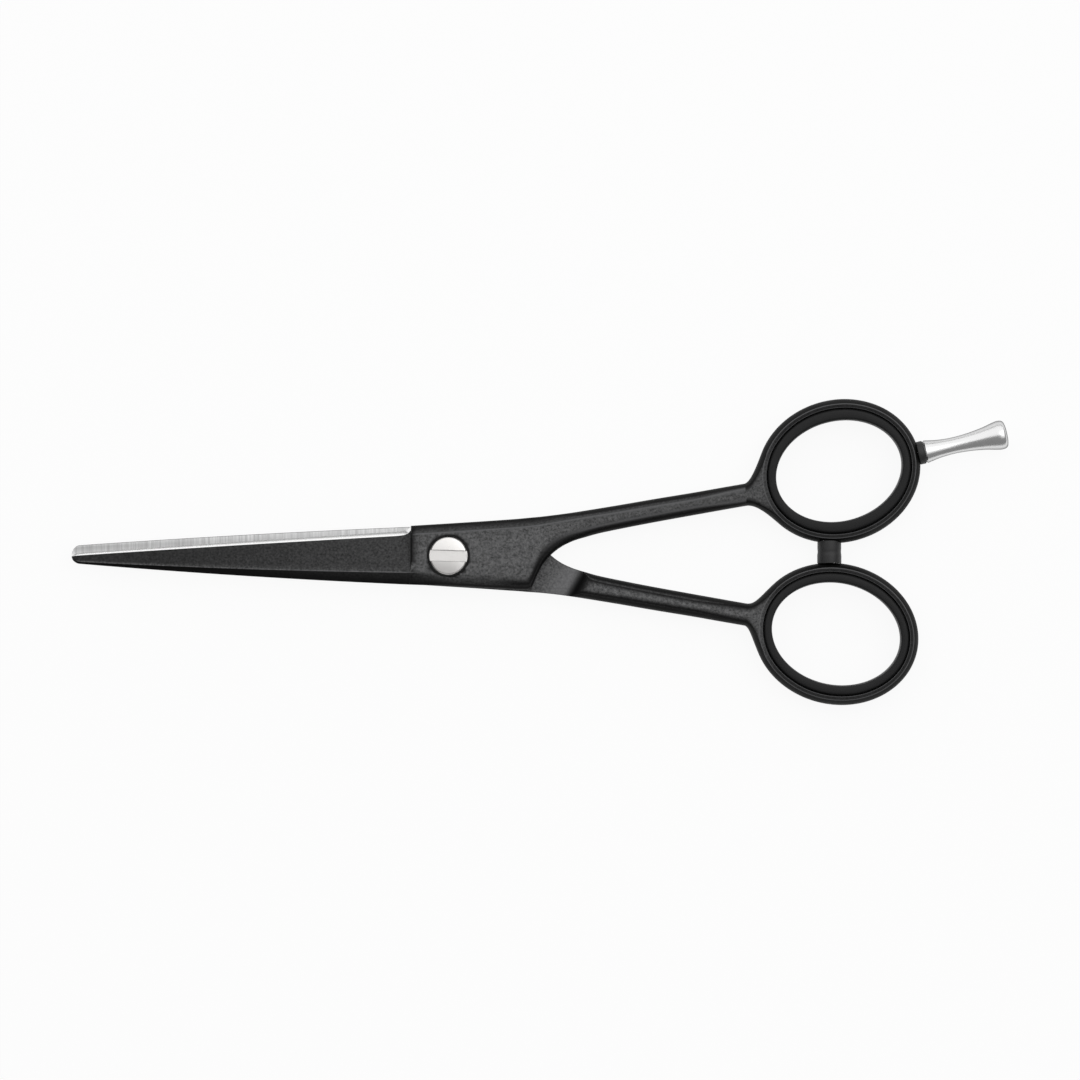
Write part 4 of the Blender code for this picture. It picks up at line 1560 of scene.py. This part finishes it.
@dataclass
class RingLiner:
    """Soft liner of a ring: a rounded section swept round the ellipse, with a groove for the steel tongue."""

    side: Side
    ring: Ring
    material: bpy.types.Material
    gap: float = 0.00012
    half_height: float = 0.0025
    squareness: float = 0.40
    groove_half: float = 0.00137
    groove_share: float = 0.18
    turns: int = 160
    around: int = 48
    merge_distance: float = 1e-6

    def tree(self) -> Tree:
        """Builds the sweep as a grid bent round the ellipse.

        Returns:
            The tree.
        """
        tree = Tree("ring_liner_sweep")
        outer_x, outer_y = tree.value("Outer X"), tree.value("Outer Y")
        hole_x, hole_y = tree.value("Hole X"), tree.value("Hole Y")
        high, power = tree.value("Half Height"), tree.value("Squareness")
        groove, share = tree.value("Groove Half"), tree.value("Groove Share")
        counts = {"Vertices_X": self.turns + 1, "Vertices_Y": self.around + 1}
        grid = tree.node("GeometryNodeMeshGrid", Size_X=1.0, Size_Y=1.0, **counts)
        place = tree.node("GeometryNodeInputPosition")
        split = tree.node("ShaderNodeSeparateXYZ", Vector=place.outputs[0])
        full = 2.0 * math.pi
        turn = tree.math("MULTIPLY", tree.math("ADD", split.outputs[0], 0.5), full)
        roll = tree.math("MULTIPLY", tree.math("ADD", split.outputs[1], 0.5), full)

        def squared(value: Socket) -> Socket:
            """Raises a value to the power, with its sign kept."""
            size = tree.math("POWER", tree.math("ABSOLUTE", value), power)
            return tree.math("MULTIPLY", size, tree.math("SIGN", value))

        outward = squared(tree.math("COSINE", roll))
        height = tree.math("MULTIPLY", squared(tree.math("SINE", roll)), high)
        within = tree.math("LESS_THAN", tree.math("ABSOLUTE", height), groove)
        limit = tree.math("SUBTRACT", 1.0, tree.math("MULTIPLY", within, tree.math("MULTIPLY", share, 2.0)))
        outward = tree.math("MINIMUM", outward, limit)
        amount = tree.math("MULTIPLY", tree.math("ADD", outward, 1.0), 0.5)

        def semi(hole: Socket, outer: Socket) -> Socket:
            """Half axis of the ellipse on which a point of the section lies."""
            return tree.math("ADD", hole, tree.math("MULTIPLY", tree.math("SUBTRACT", outer, hole), amount))

        x = tree.math("MULTIPLY", semi(hole_x, outer_x), tree.math("COSINE", turn))
        y = tree.math("MULTIPLY", semi(hole_y, outer_y), tree.math("SINE", turn))
        spot = tree.node("ShaderNodeCombineXYZ", X=x, Y=y, Z=height)
        bent = tree.node("GeometryNodeSetPosition", Geometry=grid.outputs[0], Position=spot.outputs[0])
        joined = tree.node("GeometryNodeMergeByDistance", Geometry=bent.outputs[0])
        joined.inputs["Distance"].default_value = self.merge_distance
        tree.finish(joined.outputs[0], self.material)
        return tree

    def build(self) -> bpy.types.Object:
        """Makes the liner in its place.

        Returns:
            The liner object.
        """
        node = f"{self.side.value}_ring_insert"
        obj = add_mesh(f"{node}_liner", [], [])
        lip = self.ring.wall + self.gap
        values = {
            "Outer X": self.ring.outer[0] - lip,
            "Outer Y": self.ring.outer[1] - lip,
            "Hole X": self.ring.hole[0],
            "Hole Y": self.ring.hole[1],
            "Half Height": self.half_height,
            "Squareness": self.squareness,
            "Groove Half": self.groove_half,
            "Groove Share": self.groove_share,
        }
        self.tree().run(obj, values)
        local = Matrix.Translation((*self.ring.centre, 0.0)) @ Matrix.Rotation(self.ring.tilt, 4, "Z")
        obj.data.transform(self.side.placement @ local)
        recalculated(obj)
        shade(obj, ROUND_ANGLE)
        attach(obj, self.side.body, node)
        return obj


@dataclass
class PivotHardware:
    """Slotted tension screw and the nylon bush under its head."""

    steel: bpy.types.Material
    # Near-black steel painted on the slot's walls as shade.
    slot_shade: bpy.types.Material
    nylon: bpy.types.Material
    # Screw.
    head_radius: float = 0.003125
    head_base: float = 0.00415
    head_top: float = 0.00525
    chamfer: float = 0.00022
    shank_radius: float = 0.0020
    thread_radius: float = 0.00178
    crown: float = 0.00010
    crown_steps: int = 4
    # Coin slot.
    slot_width: float = 0.0019
    slot_depth: float = 0.0007
    slot_tilt: float = math.radians(-1.5)
    slot_break: float = 0.00003
    slot_draft: float = 0.00008
    # Bush, and the lock ring under it.
    running_gap: float = 0.00006
    bush_radius: float = 0.00338
    bush_top: float = 0.00492
    flange: float = 0.0003
    sleeve_wall: float = 0.00034
    seat_gap: float = 0.00005
    lock_radius: float = 0.00255
    lock_height: float = 0.0008
    ride_gap: float = 0.0001
    steps: int = 128
    wall_tilt: float = 0.9
    screw_fillets: tuple[float, ...] = (0.0002, 0.00002, 0.00005, 0.00003, 0.00006, 0.00005, 0.00008)
    bush_fillets: tuple[float, ...] = (
        0.00003,
        0.00003,
        0.00003,
        0.00004,
        0.00008,
        0.00006,
        0.00004,
        0.00003,
    )

    @property
    def flange_base(self) -> float:
        """Underside of the bush's flange."""
        return self.head_base - self.running_gap - self.flange

    @property
    def sleeve_radius(self) -> float:
        """Outside of the bush's sleeve."""
        return self.shank_radius + self.running_gap + self.sleeve_wall

    def finger_cutters(self) -> list[bpy.types.Object]:
        """Cutters for the seat of the bush.

        Returns:
            The cutters for its flange and its sleeve.
        """
        top = 2.0 * MATING_HEIGHT + CUT_MARGIN
        still = Matrix.Identity(4)
        seat = cylinder_cutter(self.bush_radius + self.seat_gap, self.flange_base - self.seat_gap, top, still)
        hole = cylinder_cutter(self.sleeve_radius + self.seat_gap, -CUT_MARGIN, top, still)
        return [seat, hole]

    def thumb_cutters(self) -> list[bpy.types.Object]:
        """Cutters for the thread and the seat of its lock ring.

        Returns:
            The two cutters.
        """
        top = 2.0 * MATING_HEIGHT + CUT_MARGIN
        still = Matrix.Identity(4)
        base = MATING_HEIGHT - self.ride_gap - self.lock_height - self.seat_gap
        hole = cylinder_cutter(self.thread_radius + self.running_gap, -CUT_MARGIN, top, still)
        return [hole, cylinder_cutter(self.lock_radius + self.seat_gap, base, top, still)]

    def slot_cutter(self) -> bpy.types.Object:
        """Cutter for the coin slot, whose walls have the second material, near-black steel painted as shade.

        Returns:
            The cutter.
        """
        reach, half = self.head_radius + CUT_MARGIN, self.slot_width / 2.0
        bottom, top = self.head_top - self.slot_depth, self.head_top + CUT_MARGIN
        splay = half + self.slot_break
        outline = [
            (self.slot_draft - half, bottom),
            (half - self.slot_draft, bottom),
            (half, self.head_top - self.slot_break),
            (splay, self.head_top),
            (splay, top),
            (-splay, top),
            (-splay, self.head_top),
            (-half, self.head_top - self.slot_break),
        ]
        tilt = Matrix.Rotation(self.slot_tilt, 4, "Z")
        points = [tilt @ Vector((x, y, z)) for x in (-reach, reach) for y, z in outline]
        cutter = prism("slot_cutter", points)
        coat(cutter, self.steel, self.slot_shade)
        for polygon in cutter.data.polygons:
            polygon.material_index = int(abs(polygon.normal.y) > self.wall_tilt)
        return cutter

    def build_screw(self) -> bpy.types.Object:
        """Makes the screw with its coin slot.

        Returns:
            The screw.
        """
        shoulder = self.head_top - self.crown
        outline = [
            (self.thread_radius, 0.0),
            (self.thread_radius, MATING_HEIGHT),
            (self.shank_radius, MATING_HEIGHT),
            (self.shank_radius, self.head_base),
            (self.head_radius, self.head_base),
            (self.head_radius, self.head_top - self.chamfer - self.crown),
            (self.head_radius - self.chamfer, shoulder),
        ]
        profile = turned_profile(filleted(outline, self.screw_fillets))[:-1]
        rim = profile[-1][0]
        shares = [k / self.crown_steps for k in range(self.crown_steps - 1, -1, -1)]
        profile += [(rim * share, self.head_top - self.crown * share**2) for share in shares]
        screw = lathe("pivot_screw_turned", profile, self.steps, False, Matrix.Identity(4))
        coat(screw, self.steel, self.slot_shade)
        cut(screw, [self.slot_cutter()])
        shade(screw)
        attach(screw, "tension_screw", "pivot_screw")
        return screw

    def build_bush(self) -> bpy.types.Object:
        """Makes the flanged bush whose rim shows round the head.

        Returns:
            The bush.
        """
        bore = self.shank_radius + self.running_gap
        cup = self.head_radius + self.running_gap
        flange_top = self.head_base - self.running_gap
        end = MATING_HEIGHT + self.ride_gap
        outline = [
            (bore, end),
            (self.sleeve_radius, end),
            (self.sleeve_radius, self.flange_base),
            (self.bush_radius, self.flange_base),
            (self.bush_radius, self.bush_top),
            (cup, self.bush_top),
            (cup, flange_top),
            (bore, flange_top),
        ]
        profile = rounded_loop(filleted(outline, self.bush_fillets))
        bush = lathe("pivot_bush_moulded", profile, self.steps, True, Matrix.Identity(4))
        coat(bush, self.nylon)
        shade(bush)
        attach(bush, Side.FINGER.body, "pivot_bush")
        return bush


@dataclass
class Bumper:
    """Rubber stop between the rings, with a stem in the finger ring."""

    finger: Ring
    thumb: Ring
    material: bpy.types.Material
    at: float = 0.06264
    radius: float = 0.00199
    neck_radius: float = 0.00196
    waist_radius: float = 0.00191
    fillets: tuple[float, ...] = (0.0002, 0.00005, 0.00004, 0.0003, 0.0003, 0.0003, 0.00015)
    stem_radius: float = 0.00075
    stem_length: float = 0.0008
    gap: float = 0.000005
    sink: float = 0.00045
    stem_gap: float = 0.0001
    waist_span: float = 0.25
    saddle: float = 0.00013
    saddle_half: float = 0.004
    saddle_steps: int = 240

    @property
    def place(self) -> Matrix:
        """Frame at the finger ring, with Z towards the thumb ring."""
        top = Vector((self.at, self.finger.near_side(self.at) + self.sink, MATING_HEIGHT))
        return axis_matrix(top, Vector((0.0, -1.0, 0.0)))

    def cutter(self) -> bpy.types.Object:
        """Cutter for the stem's hole and the seat above it."""
        hole = (self.stem_radius + self.stem_gap, -self.stem_length - self.stem_gap)
        return stepped_cutter(hole, (self.neck_radius + self.gap, -self.gap), self.place)

    def saddle_cutter(self) -> bpy.types.Object:
        """Cutter that shapes the bumper's end to the ring it stops against.

        Returns:
            The cutter.
        """
        place = Side.THUMB.placement
        turns = [2.0 * math.pi * step / self.saddle_steps for step in range(self.saddle_steps)]
        points = []
        for height in (-self.saddle_half, self.saddle_half):
            points += [place @ self.thumb.point(-self.gap, turn, height) for turn in turns]
        return prism("saddle_cutter", points)

    def build(self) -> bpy.types.Object:
        """Makes the bumper.

        Returns:
            The bumper.
        """
        span = self.finger.near_side(self.at) + self.thumb.near_side(self.at)
        length = span + self.sink + self.saddle
        middle = length / 2.0
        outline = [
            (self.stem_radius, -self.stem_length),
            (self.stem_radius, 0.0),
            (self.neck_radius, 0.0),
            (self.neck_radius, middle * (1.0 - self.waist_span)),
            (self.waist_radius, middle),
            (self.radius, middle * (1.0 + self.waist_span)),
            (self.radius, length),
        ]
        profile = turned_profile(filleted(outline, self.fillets))
        bumper = lathe("bumper_moulded", profile, TURN_STEPS, False, self.place)
        coat(bumper, self.material)
        cut(bumper, [self.saddle_cutter()])
        shade(bumper, RUBBER_ANGLE)
        attach(bumper, Side.FINGER.body, "bumper")
        return bumper


@dataclass
class FingerRest:
    """Polished turned rest screwed into the finger ring on a soft washer."""

    ring: Ring
    steel: bpy.types.Material
    rubber: bpy.types.Material
    angle: float = math.radians(12.6)
    stem_radius: float = 0.00105
    stem_length: float = 0.0022
    washer_radius: float = 0.0019
    washer_thickness: float = 0.00108
    washer_gap: float = 0.00002
    washer_sink: float = 0.00022
    washer_fillets: tuple[float, ...] = (0.00005, 0.00018, 0.00018, 0.00005)
    shoulder_step: float = 0.0002
    stem_gap: float = 0.0001
    hole_depth: float = 0.0013
    curve_steps: int = 8
    # (radius, height above the washer) along the rest.
    body: tuple[Point2, ...] = (
        (0.00188, 0.0003),
        (0.00170, 0.0012),
        (0.00146, 0.0028),
        (0.00135, 0.0050),
        (0.00149, 0.0075),
        (0.00182, 0.0099),
        (0.00222, 0.0117),
        (0.00238, 0.0126),
        (0.00231, 0.0133),
        (0.00198, 0.0137),
        (0.00130, 0.01388),
        (0.00060, 0.01394),
    )
    end: float = 0.01395

    @property
    def place(self) -> Matrix:
        """Where the rest is screwed in.

        Returns:
            The frame on the ring's wall, with Z along the rest.
        """
        direction = Vector((math.cos(self.angle), math.sin(self.angle), 0.0))
        centre = Vector((*self.ring.centre, MATING_HEIGHT))
        return axis_matrix(centre + direction * (self.ring.reach(self.angle) - self.washer_sink), direction)

    def cutter(self) -> bpy.types.Object:
        """Cutter for the stem's hole and the washer's seat."""
        hole = (self.stem_radius + self.stem_gap, -self.hole_depth)
        return stepped_cutter(hole, (self.washer_radius + self.stem_gap / 2.0, -self.washer_gap), self.place)

    def build(self) -> list[bpy.types.Object]:
        """Makes the rest and its washer.

        Returns:
            The two pieces.
        """
        base = self.washer_thickness + self.washer_gap
        stem = [
            (0.0, base - self.stem_length),
            (self.stem_radius, base - self.stem_length),
            (self.stem_radius, base),
            (self.body[0][0] - self.shoulder_step, base),
        ]
        curve = catmull([Vector(p) for p in self.body], self.curve_steps)
        profile = stem + [(p.x, base + p.y) for p in curve] + [(0.0, base + self.end)]
        rest = lathe("finger_rest_turned", profile, TURN_STEPS, False, self.place)
        coat(rest, self.steel)
        shade(rest, ROUND_ANGLE)
        attach(rest, "rest", "finger_rest")
        bore = self.stem_radius + self.stem_gap
        outline = [
            (bore, 0.0),
            (self.washer_radius, 0.0),
            (self.washer_radius, self.washer_thickness),
            (bore, self.washer_thickness),
        ]
        profile = rounded_loop(filleted(outline, self.washer_fillets))
        washer = lathe("finger_rest_washer_moulded", profile, TURN_STEPS, True, self.place)
        coat(washer, self.rubber)
        shade(washer, RUBBER_ANGLE)
        attach(washer, Side.FINGER.body, "finger_rest_washer")
        return [rest, washer]


@dataclass(frozen=True)
class Lamp:
    """Soft rectangular lamp: where it stands, its width and height, and its power in watts."""

    name: str
    place: Corner
    size: Point2
    power: float


@dataclass
class Studio:
    """Pale floor, soft light and the camera straight above."""

    view_centre: Point2 = (0.01504, 0.00260)
    view_width: float = 0.1777
    camera_height: float = 1.2
    clip_start: float = 0.01
    sensor: float = 36.0
    floor_size: float = 4.0
    floor_height: float = -0.00012
    floor_colour: Colour = (0.90, 0.90, 0.90)
    floor_glow: float = 0.92
    world_colour: Colour = (0.26, 0.26, 0.26)
    lamps: tuple[Lamp, ...] = (
        Lamp("key", place=(0.62, 0.18, 1.05), size=(1.2, 1.2), power=3.2),
        Lamp("softbox", place=(0.0, 0.68, 0.80), size=(2.6, 1.9), power=14.3),
    )

    def build_floor(self) -> None:
        """Pale floor that keeps a soft shadow on a white ground."""
        half = self.floor_size / 2.0
        corners = ((-half, -half), (half, -half), (half, half), (-half, half))
        floor = add_mesh("floor", [Vector((x, y, 0.0)) for x, y in corners], [[0, 1, 2, 3]])
        floor.location.z = self.floor_height
        material = bpy.data.materials.new("pale_floor")
        material.use_nodes = True
        tree = material.node_tree
        nodes, links = tree.nodes, tree.links
        nodes.clear()
        output = nodes.new("ShaderNodeOutputMaterial")
        diffuse = nodes.new("ShaderNodeBsdfDiffuse")
        diffuse.inputs["Color"].default_value = (*self.floor_colour, 1.0)
        glow = nodes.new("ShaderNodeEmission")
        rays = nodes.new("ShaderNodeLightPath").outputs
        mirrored = math_node(tree, "MAXIMUM", rays["Is Glossy Ray"], rays["Is Transmission Ray"])
        seen = math_node(tree, "MAXIMUM", rays["Is Camera Ray"], mirrored)
        share = math_node(tree, "MULTIPLY", seen, self.floor_glow)
        mixed = nodes.new("ShaderNodeMixShader")
        for socket, value in zip(mixed.inputs, (share, diffuse.outputs[0], glow.outputs[0])):
            links.new(value, socket)
        links.new(mixed.outputs[0], output.inputs[0])
        coat(floor, material)
        floor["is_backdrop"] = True

    def build_light(self, lamp: Lamp) -> None:
        """Adds a lamp that faces the shears.

        Args:
            lamp: the lamp.
        """
        data = bpy.data.lights.new(lamp.name, "AREA")
        data.shape = "RECTANGLE"
        data.size, data.size_y = lamp.size
        data.energy = lamp.power
        light = bpy.data.objects.new(lamp.name, data)
        light.location = lamp.place
        aim = Vector((*self.view_centre, 0.0)) - Vector(lamp.place)
        light.rotation_euler = aim.to_track_quat("-Z", "Y").to_euler()
        bpy.context.scene.collection.objects.link(light)

    def build_camera(self) -> None:
        """Long lens straight above, with image up along +Y."""
        data = bpy.data.cameras.new("camera")
        data.sensor_width = self.sensor
        data.sensor_height = self.sensor
        data.lens = self.sensor * (self.camera_height - MATING_HEIGHT) / self.view_width
        data.clip_start = self.clip_start
        camera = bpy.data.objects.new("camera", data)
        camera.location = (*self.view_centre, self.camera_height)
        bpy.context.scene.collection.objects.link(camera)
        bpy.context.scene.camera = camera

    def build(self) -> None:
        """Sets up the whole stage."""
        scene = bpy.context.scene
        scene.view_settings.view_transform = "Standard"
        world = bpy.data.worlds.new("studio")
        scene.world = world
        world.use_nodes = True
        world.node_tree.nodes["Background"].inputs["Color"].default_value = (*self.world_colour, 1.0)
        self.build_floor()
        for lamp in self.lamps:
            self.build_light(lamp)
        self.build_camera()


def write_sizes() -> None:
    """Works out the box of the solids and of the dressed part."""
    boxes = {"cad": CAD_BOUNDS, "visual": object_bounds()}
    plain = {name: [[float(v) for v in corner] for corner in box] for name, box in boxes.items()}


def main() -> None:
    """Builds the shears in order, reports each piece and sets up the studio."""
    logging.basicConfig(level=logging.INFO, format="%(name)s: %(message)s")
    finger_ring = Ring(
        centre=(0.06420, 0.01393), tilt=math.radians(15.0), outer=(0.01353, 0.01174), hole=(0.01047, 0.00819)
    )
    thumb_ring = Ring(
        centre=(0.06374, 0.01286), tilt=math.radians(12.3), outer=(0.01364, 0.01160), hole=(0.01066, 0.00834)
    )
    steels = (CoatingFinish().material(), GroundSteelFinish().material(), HONED_FINISH.material())
    polished = PolishedSteelFinish().material()
    turned = TurnedSteelFinish().material()
    liner = LINER_FINISH.material()
    rubber = RUBBER_FINISH.material()
    nylon = NYLON_FINISH.material()
    pivot = PivotHardware(turned, SLOT_SHADE_FINISH.material(), nylon)
    bumper = Bumper(finger_ring, thumb_ring, rubber)
    rest = FingerRest(finger_ring, polished, rubber)
    # The finger half's arm flats are painted a fifth darker as shade.
    finger = ShearHalf(Side.FINGER, finger_ring, *steels, spine_bow=0.00144, arm_painted_light=0.80)
    finger_piece = finger.build()
    cut(finger_piece, [*pivot.finger_cutters(), bumper.cutter(), rest.cutter()])
    finger.dress(finger_piece)
    thumb = ShearHalf(
        Side.THUMB, thumb_ring, *steels, spine_bow=0.00102, arm_shift=-0.00038, block_trim=0.00025
    )
    thumb_piece = thumb.build()
    cut(thumb_piece, pivot.thumb_cutters())
    thumb.dress(thumb_piece)
    pieces = [
        finger_piece,
        thumb_piece,
        pivot.build_screw(),
        pivot.build_bush(),
        bumper.build(),
        *rest.build(),
        RingLiner(Side.FINGER, finger_ring, liner).build(),
        RingLiner(Side.THUMB, thumb_ring, liner).build(),
    ]
    for piece in pieces:
        LOG.info("%s has %d faces", piece.name, len(piece.data.polygons))
    lock_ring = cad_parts["thread_lock_ring"]
    lock_ring.data.materials.clear()
    lock_ring.data.materials.append(nylon)
    Studio().build()
    write_sizes()


if __name__ == "__main__":
    main()
